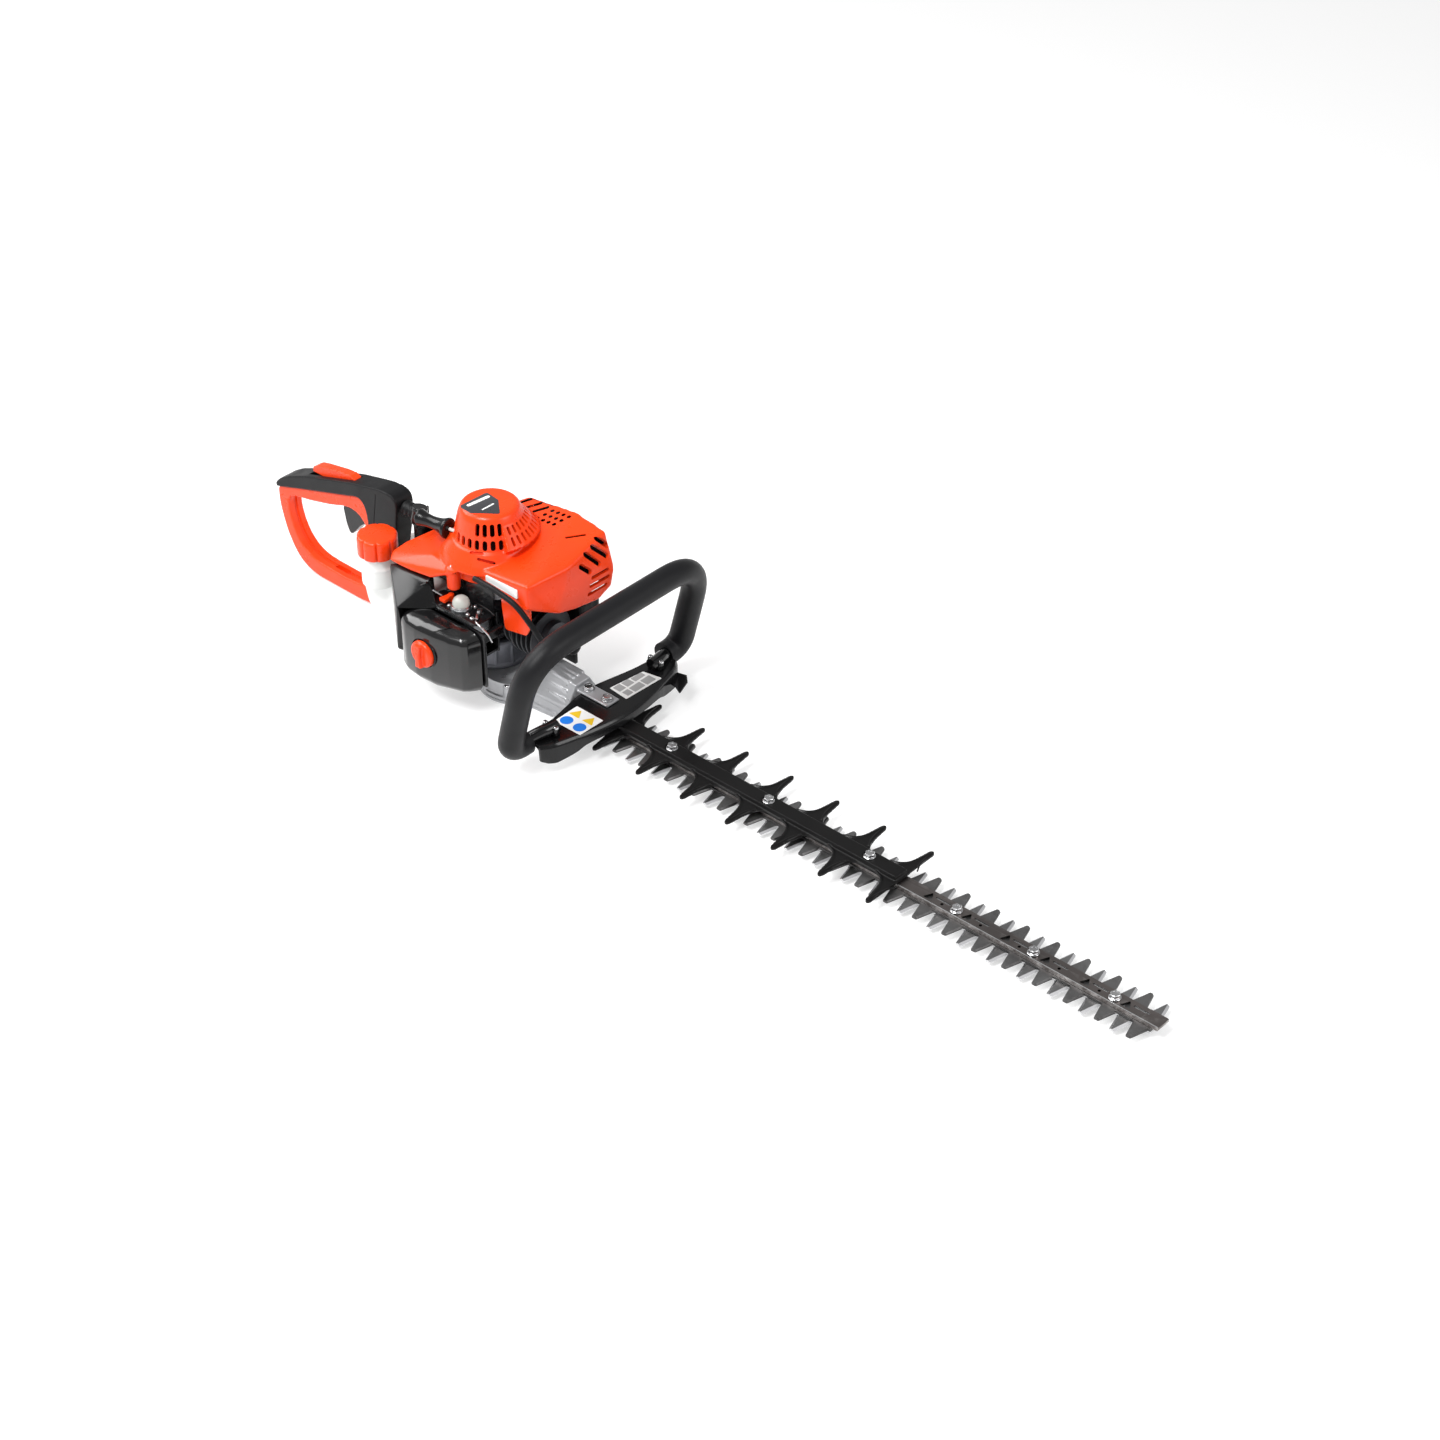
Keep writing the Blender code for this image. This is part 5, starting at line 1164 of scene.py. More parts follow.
def make_air_filter():
    """Domed cover with a bulged face, and a recess for the knob with its rim."""
    low, high = FILTER_Z
    rings = []
    levels = [(low, 0.011), (low + 0.0012, 0.0078), (low + 0.0035, 0.004), (low + 0.007, 0.0013),
        (low + 0.011, 0.0)]
    levels += [(high - 0.0125, 0.0), (high - 0.009, 0.0006), (high - 0.006, 0.002), (high - 0.0034, 0.0044),
        (high - 0.0014, 0.008), (high - 0.0003, 0.0128), (high, 0.018)]
    for z, inset in levels:
        rings.append([(p.x, p.y, z) for p in filter_cover_outline(inset)])
    cover = loft("air_filter_cover_moulded", rings)
    inner = []
    for z, inset in ((low + 0.003, 0.01), (low + 0.01, 0.003), (high - 0.012, 0.003),
            (high - 0.003, 0.016)):
        ring = [(p.x, p.y if p.y < FILTER_Y[1] - 0.0001 else FILTER_Y[1] + 0.002, z)
            for p in filter_cover_outline(inset)]
        inner.append(ring)
    carved(cover, loft("cutter", inner), solver="EXACT")
    x, _, z = KNOB_CENTRE
    face = FILTER_Y[0] + 0.0015
    carved(cover, rod("cutter", (x, -0.11, z), (x, face, z), 0.0165, 64), solver="EXACT")
    carved(cover, rod("cutter", (x, -0.11, z), (x, -0.085, z), 0.0033, 24), solver="EXACT")
    settle(cover, "black_plastic", BLACK_GLOSS, "air_filter_cover", body="filter_cover")
    rim = revolve("knob_rim", [(0.0166, -0.001), (0.0164, 0.0004), (0.0158, 0.0009), (0.0152, 0.0004),
        (0.015, -0.0008)], (x, face, z), (0, -1, 0), 64)
    carved(rim, rod("cutter", (x, -0.11, z), (x, -0.08, z), 0.0151, 64))
    settle(rim, "black_plastic", BLACK, body="filter_cover")
    make_filter_knob(x, face, z)


def make_filter_knob(x, face, z):
    """Disc with a raised double grip, on a stem."""
    disc = revolve("air_filter_knob_moulded", [(0.0144, GAP), (0.0148, 0.001), (0.0148, 0.0036),
        (0.0138, 0.0052), (0.012, 0.006)], (x, face, z), (0, -1, 0), 64)
    shells = []
    for end in (-1, 1):
        shells.append(hull("grip", [(x + a, face - d, z + end * b)
            for a, b, d in ((-0.0022, 0.0, 0.0108), (0.0022, 0.0, 0.0108), (-0.0036, 0.013, 0.01),
            (0.0036, 0.013, 0.01), (-0.0034, 0.0, 0.003), (0.0034, 0.0, 0.003), (-0.005, 0.0136, 0.003),
            (0.005, 0.0136, 0.003))]))
    knob = fused(disc, *shells, voxel=0.0005, rounds=4)
    stem = rod("stem", (x, face - 0.001, z), (x, -0.086, z), 0.003, 24)
    united(knob, stem)
    settle(knob, "orange_plastic", ORANGE, "air_filter_knob", body="filter_knob")


def make_baffle():
    """Wall between the carburettor and the crankcase, stepped out round the flywheel, on a tray."""
    section = [(-0.0325, 0.069), (-0.0305, 0.069), (-0.0305, 0.1185), (-0.035, 0.1185), (-0.035, 0.146),
        (-0.037, 0.146), (-0.037, 0.1165), (-0.0325, 0.1165)]
    wall = bevelled(prism("baffle", section, -0.066, -0.008, "YZ"), 0.0004, 2)
    carved(wall, rod("cutter", (INTAKE_X, -0.04, INTAKE_Z), (INTAKE_X, -0.028, INTAKE_Z), 0.0115, 48),
        solver="EXACT")
    return united(wall, box("tray", (-0.06, -0.063, 0.069), (-0.01, -0.031, 0.0715)), solver="EXACT")


def make_filter_case():
    """Case behind the cover, with its plate, arm, flap, grille and the baffle."""
    case = hull("air_filter_case_moulded", ((-0.134, -0.06, 0.133), (-0.076, -0.06, 0.137),
        (-0.115, -0.045, 0.137), (-0.08, -0.05, 0.139), (-0.062, -0.064, 0.115), (-0.062, -0.0655, 0.048),
        (-0.101, -0.066, 0.048), (-0.101, -0.086, 0.056), (-0.101, -0.086, 0.108), (-0.093, -0.06, 0.056),
        (-0.093, -0.09, 0.112)))
    bevelled(case, 0.0012, 3)
    carved(case, box("cutter", (FILTER_X[0] - GAP, -0.11, 0.038),
        (0.0, FILTER_Y[1] + GAP + 0.0022, 0.1123)), solver="EXACT")
    united(case, bevelled(box("plate", (-0.092, -0.0655, 0.048), (0.007, -0.0625, 0.112)), 0.0006, 2),
        solver="EXACT")
    carved(case, rod("cutter", (INTAKE_X, -0.07, INTAKE_Z), (INTAKE_X, -0.06, INTAKE_Z), 0.0065, 32),
        solver="EXACT")
    carved(case, box("cutter", (-0.075, -0.0665, 0.056), (-0.005, -0.0655, 0.102)), solver="EXACT")
    arm = bevelled(box("arm", (0.0005, -0.0635, 0.101), (0.007, -0.0385, 0.111)), 0.0012, 3)
    united(case, arm, make_baffle(), solver="EXACT")
    flap = hull("flap", ((-0.11, -0.065, 0.109), (-0.074, -0.064, 0.138), (-0.112, -0.058, 0.122),
        (-0.078, -0.057, 0.14), (-0.1, -0.06, 0.112), (-0.074, -0.06, 0.133)))
    united(case, bevelled(flap, 0.0005, 2), solver="EXACT")
    lip = [(-0.111, -0.0648, 0.1095), (-0.0925, -0.0646, 0.124), (-0.0745, -0.064, 0.1385)]
    settle(tube("air_filter_case_lip", spline(lip, 8), 0.0013, 16), "black_plastic", COATED_GLOSS)
    grille = [long_hole((-0.101, -0.084, z), (-0.101, -0.07, z), 0.0028, (1, 0, 0), 0.004, 0.004)
        for z in (0.06, 0.066, 0.072, 0.078, 0.084, 0.09, 0.096, 0.102)]
    carved(case, joined(*grille), solver="EXACT")
    settle(case, "black_plastic", BLACK, "air_filter_case")


def make_shroud():
    """Glossy dished plate round the bulb and the levers, level with the filter cover's top."""
    outline = rounded_outline([(-0.074, -0.0655), (-0.004, -0.0655), (-0.004, -0.04), (-0.015, -0.0372),
        (-0.064, -0.0372), (-0.074, -0.045)], 0.003)
    plate = bevelled(prism("carburetor_shroud", outline, 0.1172, 0.1188), 0.0004, 2)
    carved(plate, bore(BULB, 0.0112, 0.11, 0.125), solver="EXACT")
    carved(plate, bore(CHOKE_PIVOT, 0.004, 0.11, 0.125), solver="EXACT")
    carved(plate, bore(THROTTLE_PIVOT, 0.0036, 0.11, 0.125), solver="EXACT")
    lip = [(-0.004, -0.04, 0.1186), (-0.015, -0.0374, 0.119), (-0.04, -0.0372, 0.1192),
        (-0.064, -0.0374, 0.119), (-0.0738, -0.045, 0.1186), (-0.0738, -0.064, 0.1186)]
    united(plate, tube("lip", spline(lip, 8), 0.0012, 12), solver="EXACT")
    settle(plate, "black_plastic", BLACK)
    ring = revolve("bulb_ring", [(0.0092, 0.1212), (0.0104, 0.1215), (0.0108, 0.1226), (0.0104, 0.1236),
        (0.0094, 0.1238)], (*BULB, 0.0), steps=64)
    carved(ring, bore(BULB, 0.0093, 0.118, 0.126, 64))
    settle(ring, "bolt_steel", STEEL)


def make_carburetor():
    """Body, primer bulb, choke and throttle levers, manifold and the two wires."""
    body = bevelled(box("carburetor_cast", (-0.0558, -0.0618, 0.0882), (-0.0122, -0.0382, 0.116)), 0.003, 3)
    shells = [bevelled(box("top", (-0.054, -0.06, 0.112), (-0.014, -0.04, 0.117)), 0.0012, 2),
        revolve("seat", [(0.0109, 0.115), (0.0109, 0.1218), (0.0104, 0.1225)], (*BULB, 0.0)),
        rod("barb", (-0.052, -0.044, 0.116), (-0.052, -0.044, 0.1205), 0.002),
        rod("shaft", (-0.02, -0.0616, 0.106), (-0.02, -0.0384, 0.106), 0.0046)]
    fused(body, *shells, voxel=0.0006, rounds=2)
    carved(body, rod("cutter", (INTAKE_X, -0.063, INTAKE_Z), (INTAKE_X, -0.037, INTAKE_Z), 0.0065, 32))
    carved(body, bore(BULB, 0.0094, 0.1172, 0.13))
    settle(body, "cast_aluminium", MACHINED, "carburetor")
    make_shroud()
    for i, (x, y) in enumerate(((-0.05, -0.058), (-0.024, -0.057), (-0.029, -0.042), (-0.016, -0.059))):
        make_screw(f"carburetor_screw_{i + 1}", (x, y, 0.1187), (0, 0, 1), 0.0024)
    bulb = revolve("primer_bulb_moulded", [(0.0088, 0.0), (0.009, 0.001), (0.009, 0.003), (0.0087, 0.0048),
        (0.008, 0.0066), (0.0067, 0.0084), (0.0048, 0.0097), (0.0026, 0.0103)], (*BULB, 0.122), steps=64)
    settle(bulb, "clear_plastic", CLEAR, "primer_bulb", body="primer_bulb")
    lever = rod("choke_lever_moulded", (*CHOKE_PIVOT, 0.1175), (*CHOKE_PIVOT, 0.1259), 0.0031, 32)
    tab = prism("tab", rounded_outline([(-0.0586, -0.0495), (-0.054, -0.0495), (-0.052, -0.0619),
        (-0.0609, -0.0619)], 0.0016), 0.1217, 0.1254)
    fused(lever, tab, voxel=0.0004, rounds=3)
    settle(lever, "orange_plastic", ORANGE, "choke_lever", body="choke_lever")
    arm = rod("throttle_lever_pressed", (*THROTTLE_PIVOT, 0.1173), (*THROTTLE_PIVOT, 0.1238), 0.0027, 32)
    tab = prism("tab", rounded_outline([(-0.0192, -0.0488), (-0.0148, -0.0488), (-0.0082, -0.058),
        (-0.0108, -0.0598)], 0.0012), 0.1202, 0.1219)
    united(arm, bevelled(tab, 0.0003, 2))
    settle(arm, "bolt_steel", STEEL, "throttle_lever", body="throttle_lever")
    manifold = revolve("intake_manifold_moulded", [(0.0088, 0.0), (0.0108, 0.0014), (0.011, 0.0024),
        (0.0094, 0.004), (0.008, 0.007)], (INTAKE_X, -0.0377, INTAKE_Z), (0, 1, 0))
    carved(manifold, rod("cutter", (INTAKE_X, -0.04, INTAKE_Z), (INTAKE_X, -0.028, INTAKE_Z), 0.006, 32))
    settle(manifold, "black_rubber", RUBBER, "intake_manifold")
    wire = spline([(-0.01, -0.06, 0.119), (-0.004, -0.064, 0.1215), (0.0035, -0.064, 0.118),
        (0.0075, -0.06, 0.11), (0.0085, -0.056, 0.1)])
    settle(tube("linkage_wire", wire, 0.001, 14), "bolt_steel", STEEL)
    choke_wire = spline([(-0.084, -0.061, 0.131), (-0.074, -0.06, 0.129), (-0.065, -0.056, 0.1245),
        (-0.06, -0.052, 0.119)])
    settle(tube("choke_wire", choke_wire, 0.0008, 12), "bolt_steel", STEEL)


# ---- Fuel ----------------------------------------------------------------------------------------

TANK_X = (-0.206, -0.105)
TANK_Z = (0.028, 0.099)
TANK_HALF_WIDTH = 0.045
TANK_BELLY_RADIUS = 0.03
TANK_REAR_LEAN = 0.24
NECK = (-0.168, -0.045)


def tank_section(x, inset, lean=0.0, steps=12):
    """Cross-section at one station: a round belly below, tighter corners on top."""
    half = TANK_HALF_WIDTH - inset
    low = TANK_Z[0] + inset
    high = TANK_Z[1] - inset
    ring = []
    for side_y, z, radius, start in ((1, low, TANK_BELLY_RADIUS - inset, -90),
            (1, high, 0.014 - inset * 0.8, 0), (-1, high, 0.014 - inset * 0.8, 90),
            (-1, low, TANK_BELLY_RADIUS - inset, 180)):
        centre_y = side_y * (half - radius)
        centre_z = z + radius if z == low else z - radius
        for i in range(steps):
            angle = radians(start + 90 * i / (steps - 1))
            point_z = centre_z + radius * sin(angle)
            ring.append((x + lean * (TANK_Z[1] - point_z), centre_y + radius * cos(angle), point_z))
    return ring


def make_tank():
    """Blow-moulded tank with a parting bead, grooves in its sides and a plain neck."""
    rings = []
    stations = [(0.0, 0.01), (0.0006, 0.007), (0.0018, 0.0045), (0.0036, 0.0025), (0.0062, 0.001),
        (0.01, 0.0)]
    for step, inset in stations:
        rings.append(tank_section(TANK_X[0] + step, inset, TANK_REAR_LEAN))
    for step, inset in reversed(stations):
        rings.append(tank_section(TANK_X[1] - step, inset))
    tank = loft("fuel_tank_moulded", rings)
    bead = []
    middle_x = (TANK_X[0] + TANK_X[1]) / 2
    for x, inset in ((middle_x - 0.0016, 0.0006), (middle_x - 0.0008, 0.0), (middle_x + 0.0008, 0.0),
            (middle_x + 0.0016, 0.0006)):
        bead.append(tank_section(x, inset))
    shells = [loft("bead", bead)]
    shells.append(revolve("neck", [(0.0185, 0.09), (0.0185, 0.106), (0.0176, 0.109), (0.0165, 0.112),
        (0.0165, 0.124)], (*NECK, 0.0), steps=64))
    shells.append(revolve("collar", [(0.0178, 0.11), (0.0181, 0.1108), (0.0181, 0.1118), (0.0176, 0.1126)],
        (*NECK, 0.0), steps=64))
    fused(tank, *shells, voxel=0.001, rounds=4)
    groove = [long_hole((x, side * 0.0452, 0.056), (x, side * 0.0452, 0.08), 0.006, (0, -side, 0), 0.0012,
        0.004) for x in (-0.132, -0.12) for side in (-1, 1)]
    carved(tank, joined(*groove))
    carved(tank, bore(NECK, 0.012, 0.105, 0.13))
    settle(tank, "white_plastic", WHITE, "fuel_tank")
    make_cap()
    route = [(-0.104, -0.03, 0.06), (-0.095, -0.033, 0.062), (-0.086, -0.04, 0.07), (-0.075, -0.047, 0.082),
        (-0.058, -0.05, 0.096)]
    settle(tube("fuel_hose_run", spline(route, 10), 0.0024, 20), "black_rubber", RUBBER, "fuel_hose")


def make_cap():
    """Eight-lobed cap with a flat top and a plug that goes down into the neck."""
    steps = 144
    rings = []
    levels = ((0.0105, 0.112, 0.0), (0.0105, 0.1246, 0.0), (0.019, 0.1246, 0.4), (0.0201, 0.1254, 0.9),
        (0.0205, 0.1268, 1.0), (0.0205, 0.1442, 1.0), (0.0202, 0.1458, 0.9), (0.0194, 0.147, 0.7),
        (0.018, 0.1475, 0.4), (0.006, 0.1475, 0.0))
    for radius, z, lobes in levels:
        ring = []
        for i in range(steps):
            angle = 2 * pi * i / steps
            wave = abs(sin(4 * angle)) ** 0.6
            reach = radius + lobes * (0.0008 - 0.0026 * (1 - wave) ** 2)
            ring.append((NECK[0] + reach * cos(angle), NECK[1] + reach * sin(angle), z))
        rings.append(ring)
    cap = loft("fuel_cap_moulded", rings)
    settle(cap, "orange_plastic", ORANGE, "fuel_cap", body="fuel_cap")


# ---- Rear handle ---------------------------------------------------------------------------------

LIMB_OUTLINE = ((-0.195, 0.0255), (-0.195, 0.0277), (-0.2063, 0.0277), (-0.212, 0.038), (-0.22, 0.044),
    (-0.23, 0.04), (-0.244, 0.0325), (-0.2676, 0.0317), (-0.2954, 0.0323), (-0.3113, 0.0333),
    (-0.3268, 0.039), (-0.338, 0.05), (-0.345, 0.064), (-0.349, 0.078), (-0.35, 0.092), (-0.3463, 0.101),
    (-0.338, 0.104), (-0.3138, 0.1088), (-0.2815, 0.1171), (-0.2614, 0.1242), (-0.2495, 0.1269),
    (-0.2381, 0.125), (-0.23, 0.119), (-0.224, 0.108), (-0.2215, 0.1003), (-0.187, 0.1003), (-0.187, 0.114),
    (-0.2202, 0.115), (-0.2205, 0.1224), (-0.222, 0.1339), (-0.225, 0.1418), (-0.2302, 0.1466),
    (-0.2378, 0.1465), (-0.2478, 0.143), (-0.2959, 0.1281), (-0.3286, 0.1179), (-0.3649, 0.106),
    (-0.3655, 0.0964), (-0.364, 0.0812), (-0.3606, 0.0668), (-0.3556, 0.0513), (-0.3481, 0.037),
    (-0.3395, 0.0254), (-0.3244, 0.0167), (-0.3087, 0.014), (-0.2454, 0.0135), (-0.2237, 0.016),
    (-0.21, 0.021))
GRIP_OUTLINE = ((-0.3649, 0.1064), (-0.3286, 0.1183), (-0.2959, 0.1285), (-0.2478, 0.1434),
    (-0.2378, 0.1469), (-0.23, 0.147), (-0.2247, 0.1421), (-0.2216, 0.134), (-0.2201, 0.1225),
    (-0.2199, 0.1153), (-0.1867, 0.1143), (-0.1867, 0.1003), (-0.182, 0.1003), (-0.176, 0.13),
    (-0.1725, 0.16), (-0.174, 0.167), (-0.179, 0.171), (-0.186, 0.1722), (-0.2006, 0.1711),
    (-0.2161, 0.1677), (-0.2445, 0.1611), (-0.317, 0.1387), (-0.3452, 0.127), (-0.36, 0.118),
    (-0.366, 0.111))
TRIGGER_SLOT = ((-0.27, 0.09), (-0.226, 0.09), (-0.226, 0.124), (-0.24, 0.1275), (-0.256, 0.134),
    (-0.27, 0.132))
LOCKOUT_SLOT = ((-0.316, 0.133), (-0.296, 0.133), (-0.242, 0.15), (-0.242, 0.18), (-0.316, 0.18))
TRIGGER = ((-0.2655, 0.1215), (-0.2641, 0.1133), (-0.2623, 0.1031), (-0.2593, 0.095), (-0.2568, 0.0907),
    (-0.2528, 0.0915), (-0.2461, 0.0992), (-0.2396, 0.107), (-0.232, 0.1125), (-0.2325, 0.119),
    (-0.24, 0.1228), (-0.253, 0.1245))
LOCKOUT = ((-0.31, 0.145), (-0.29, 0.145), (-0.25, 0.1535), (-0.244, 0.156), (-0.2434, 0.1612),
    (-0.25, 0.164), (-0.2628, 0.163), (-0.2903, 0.158), (-0.3024, 0.155), (-0.309, 0.151))
LIMB_HALF = 0.0095
GRIP_HALF = 0.012


def limb_body(name):
    """The handle's loop with soft edges and a channel round its inside."""
    limb = prism(name, rounded_outline(LIMB_OUTLINE, 0.05, 4), -LIMB_HALF, LIMB_HALF, "XZ")
    fused(limb, voxel=0.0009, rounds=9)
    inside = LIMB_OUTLINE[4:25]
    channel = moved_in(rounded_outline(inside, 0.05, 3), -0.0014)
    carved(limb, prism("cutter", [(p.x, p.y) for p in channel], -0.0021, 0.0021, "XZ"))
    carved(limb, long_hole((-0.2885, 0.0, 0.033), (-0.27, 0.0, 0.0325), 0.0062, (0, 0, -1), 0.007, 0.006))
    return limb


def make_rear_handle():
    """Two half shells, the grip, the trigger, the lock-out and the stop switch."""
    for side, name in ((-1, "right"), (1, "left")):
        shell = limb_body(f"rear_handle_{name}_shell")
        far = box("cutter", (-0.38, -0.02, 0.0), (-0.18, 0.00018, 0.16))
        if side < 0:
            turned(far, Matrix.Scale(-1, 4, (0, 1, 0)))
            far.data.flip_normals()
        carved(shell, far)
        carved(shell, prism("cutter", TRIGGER_SLOT, -0.006, 0.006, "XZ"))
        settle(shell, "orange_plastic", ORANGE, f"rear_handle_{name}")
        for i, (x, z) in enumerate(((-0.358, 0.076), (-0.302, 0.0228), (-0.228, 0.028))):
            seat = (x, side * (LIMB_HALF - 0.0008), z)
            make_screw(f"handle_screw_{name}_{i + 1}", seat, (0, side, 0), 0.0028, tall=0.0007)
    make_grip()
    trigger = prism("throttle_trigger_moulded", rounded_outline(TRIGGER, 0.05, 4), -0.0054, 0.0054, "XZ")
    fused(trigger, voxel=0.0006, rounds=5)
    settle(trigger, "black_plastic", BLACK, "throttle_trigger", body="throttle_trigger")
    lockout = prism("throttle_lockout_moulded", rounded_outline(LOCKOUT, 0.0015, 4), -0.005, 0.005, "XZ")
    ribs = [box("rib", (x - 0.0006, -0.004, 0.15), (x + 0.0006, 0.004, 0.1625 + (x + 0.2628) * 0.28))
        for x in (-0.276, -0.273, -0.27, -0.267, -0.264)]
    fused(lockout, *ribs, voxel=0.0006, rounds=4)
    settle(lockout, "orange_plastic", ORANGE, "throttle_lockout", body="throttle_lockout")
    switch = box("stop_switch_moulded", (-0.2008, GRIP_HALF + GAP, 0.1432),
        (-0.1892, GRIP_HALF + 0.0022, 0.1498))
    thumb = [box("ridge", (x - 0.0005, GRIP_HALF + 0.001, 0.144), (x + 0.0005, GRIP_HALF + 0.0034, 0.149))
        for x in (-0.1974, -0.195, -0.1926)]
    fused(switch, *thumb, voxel=0.0004, rounds=2)
    settle(switch, "orange_plastic", ORANGE, "stop_switch", body="stop_switch")


def make_grip():
    """Over-moulded grip that widens into the front pillar."""
    grip = prism("rear_grip_overmould", rounded_outline(GRIP_OUTLINE, 0.05, 4), -GRIP_HALF, GRIP_HALF, "XZ")
    fused(grip, voxel=0.0009, rounds=12)
    carved(grip, prism("cutter", LOCKOUT_SLOT, -0.0056, 0.0056, "XZ"))
    for side in (-1, 1):
        line = [(-0.2105, side * GRIP_HALF, 0.118), (-0.209, side * GRIP_HALF, 0.132),
            (-0.2062, side * GRIP_HALF, 0.148), (-0.204, side * GRIP_HALF, 0.164)]
        carved(grip, tube("cutter", spline(line), 0.0006, 8))
    settle(grip, "black_rubber", RUBBER, "rear_grip")


def make_mounts():
    """Ribbed rubber mounts, the formed bracket with its cap, and the throttle cable."""
    profile = [(0.0068, 0.0002), (0.0086, 0.0004), (0.009, 0.0014), (0.009, 0.0026), (0.0082, 0.004),
        (0.0079, 0.0056), (0.0084, 0.007), (0.0084, 0.0084), (0.0076, 0.0096), (0.0076, 0.0112),
        (0.0084, 0.0124), (0.0084, 0.0138), (0.0079, 0.0152), (0.0082, 0.0168), (0.009, 0.0182),
        (0.009, 0.0196), (0.0086, 0.0206), (0.0068, 0.0208)]
    upper = revolve("vibration_mount_upper_moulded", profile, (-0.1715, 0.0, 0.156), (1, 0, 0), 64)
    settle(upper, "black_rubber", RUBBER, "vibration_mount_upper")
    for side, name in ((-1, "right"), (1, "left")):
        profile = [(0.0083, 0.0002), (0.0085, 0.001), (0.008, 0.003), (0.0074, 0.0045), (0.0074, 0.006),
            (0.008, 0.007), (0.008, 0.0088), (0.0074, 0.01), (0.0074, 0.0116), (0.008, 0.013),
            (0.0085, 0.015), (0.0083, 0.0158)]
        mount = revolve(f"vibration_mount_{name}_moulded", profile, (-0.1047, side * 0.02, 0.055),
            (1, 0, 0), 48)
        settle(mount, "black_rubber", RUBBER, f"vibration_mount_{name}")
    bracket = box("mount_bracket_formed", (-0.1501, -0.0108, 0.1012), (-0.1473, 0.0108, 0.1638))
    bevelled(bracket, 0.001, 3)
    shells = [box("foot", (-0.1482, -0.0108, 0.1006), (-0.099, 0.0108, 0.1038)),
        box("toe", (-0.102, -0.0108, 0.0902), (-0.0755, 0.0108, 0.1038))]
    for side in (-1, 1):
        shells.append(hull("gusset", [(-0.148, side * 0.0104, 0.103), (-0.148, side * 0.0088, 0.103),
            (-0.148, side * 0.0104, 0.15), (-0.148, side * 0.0088, 0.15), (-0.12, side * 0.0104, 0.103),
            (-0.12, side * 0.0088, 0.103)]))
    cap_axis = Vector((0.05, 0.22, 0.97))
    cap = [(0.005, 0.0), (0.0074, 0.003), (0.0078, 0.006), (0.0078, 0.015), (0.0086, 0.0156),
        (0.0086, 0.02), (0.0076, 0.0208), (0.006, 0.0204), (0.002, 0.0204)]
    shells.append(revolve("cap", cap, (-0.149, -0.006, 0.148), cap_axis, 48))
    fused(bracket, *shells, voxel=0.0007, rounds=3)
    settle(bracket, "black_plastic", BLACK, "mount_bracket")
    make_screw("bracket_screw", (-0.1472, 0.0, 0.156), (1, 0, 0), 0.0045)
    route = [(-0.169, 0.012, 0.138), (-0.156, 0.019, 0.136), (-0.13, 0.018, 0.125), (-0.106, 0.006, 0.116),
        (-0.09, -0.015, 0.111), (-0.078, -0.033, 0.113), (-0.062, -0.044, 0.119)]
    settle(tube("throttle_cable_sheath", spline(route, 12), 0.0021, 20), "black_rubber", RUBBER,
        "throttle_cable")


# ---- Front handle and hand guard -----------------------------------------------------------------

LOOP_TUBE_RADIUS = 0.0133
LOOP_HALF_WIDTH = 0.1235
LOOP_TOP = (0.129, 0.167)
LOOP_FOOT = (0.097, 0.045)
LOOP_END_Y = 0.1


def make_front_handle():
    """Sleeved loop on two coated feet, each under a saddle with two screws."""
    knots = []
    for side in (-1, 1):
        leg = [(LOOP_FOOT[0], side * LOOP_END_Y, LOOP_FOOT[1]), (LOOP_FOOT[0], side * LOOP_HALF_WIDTH,
            LOOP_FOOT[1]), (LOOP_TOP[0], side * LOOP_HALF_WIDTH, LOOP_TOP[1])]
        knots += leg if side == -1 else list(reversed(leg))
    path = [Vector(knots[0])]
    for i, reach in enumerate((0.018, 0.055, 0.055, 0.018)):
        corner = Vector(knots[i + 1])
        before = (Vector(knots[i]) - corner).normalized() * reach
        after = (Vector(knots[i + 2]) - corner).normalized() * reach
        for step in range(17):
            t = step / 16
            path.append(corner + before * (1 - t) ** 2 + after * t ** 2)
    path.append(Vector(knots[-1]))
    for side in (-1, 1):
        route = [(LOOP_FOOT[0], side * 0.108, LOOP_FOOT[1]), (0.1, side * 0.099, 0.0485),
            (0.1055, side * 0.087, 0.0528), (0.1082, side * 0.077, 0.0538), (0.1085, side * 0.069, 0.0538)]
        number = 1 if side < 0 else 2
        foot = tube(f"front_handle_foot_{number}", spline(route, 8), 0.0068, 32)
        saddle = bevelled(box("saddle", (0.099, side * 0.076 - 0.0035, 0.0472),
            (0.1175, side * 0.076 + 0.0035, 0.058)), 0.002, 3)
        united(foot, saddle, solver="EXACT")
        settle(foot, "black_coated_steel", COATED_GLOSS)
        for i, x in enumerate((0.1008, 0.1158)):
            make_screw(f"saddle_screw_{number}_{i + 1}", (x, side * 0.076, 0.0568), (0, 0, 1), 0.0026)
    sleeve = tube("front_handle_sleeve", path, LOOP_TUBE_RADIUS - 0.0001, 48)
    bevelled(sleeve, 0.0016, 4, 60)
    settle(sleeve, "black_rubber", FOAM, "front_handle", angle=50)


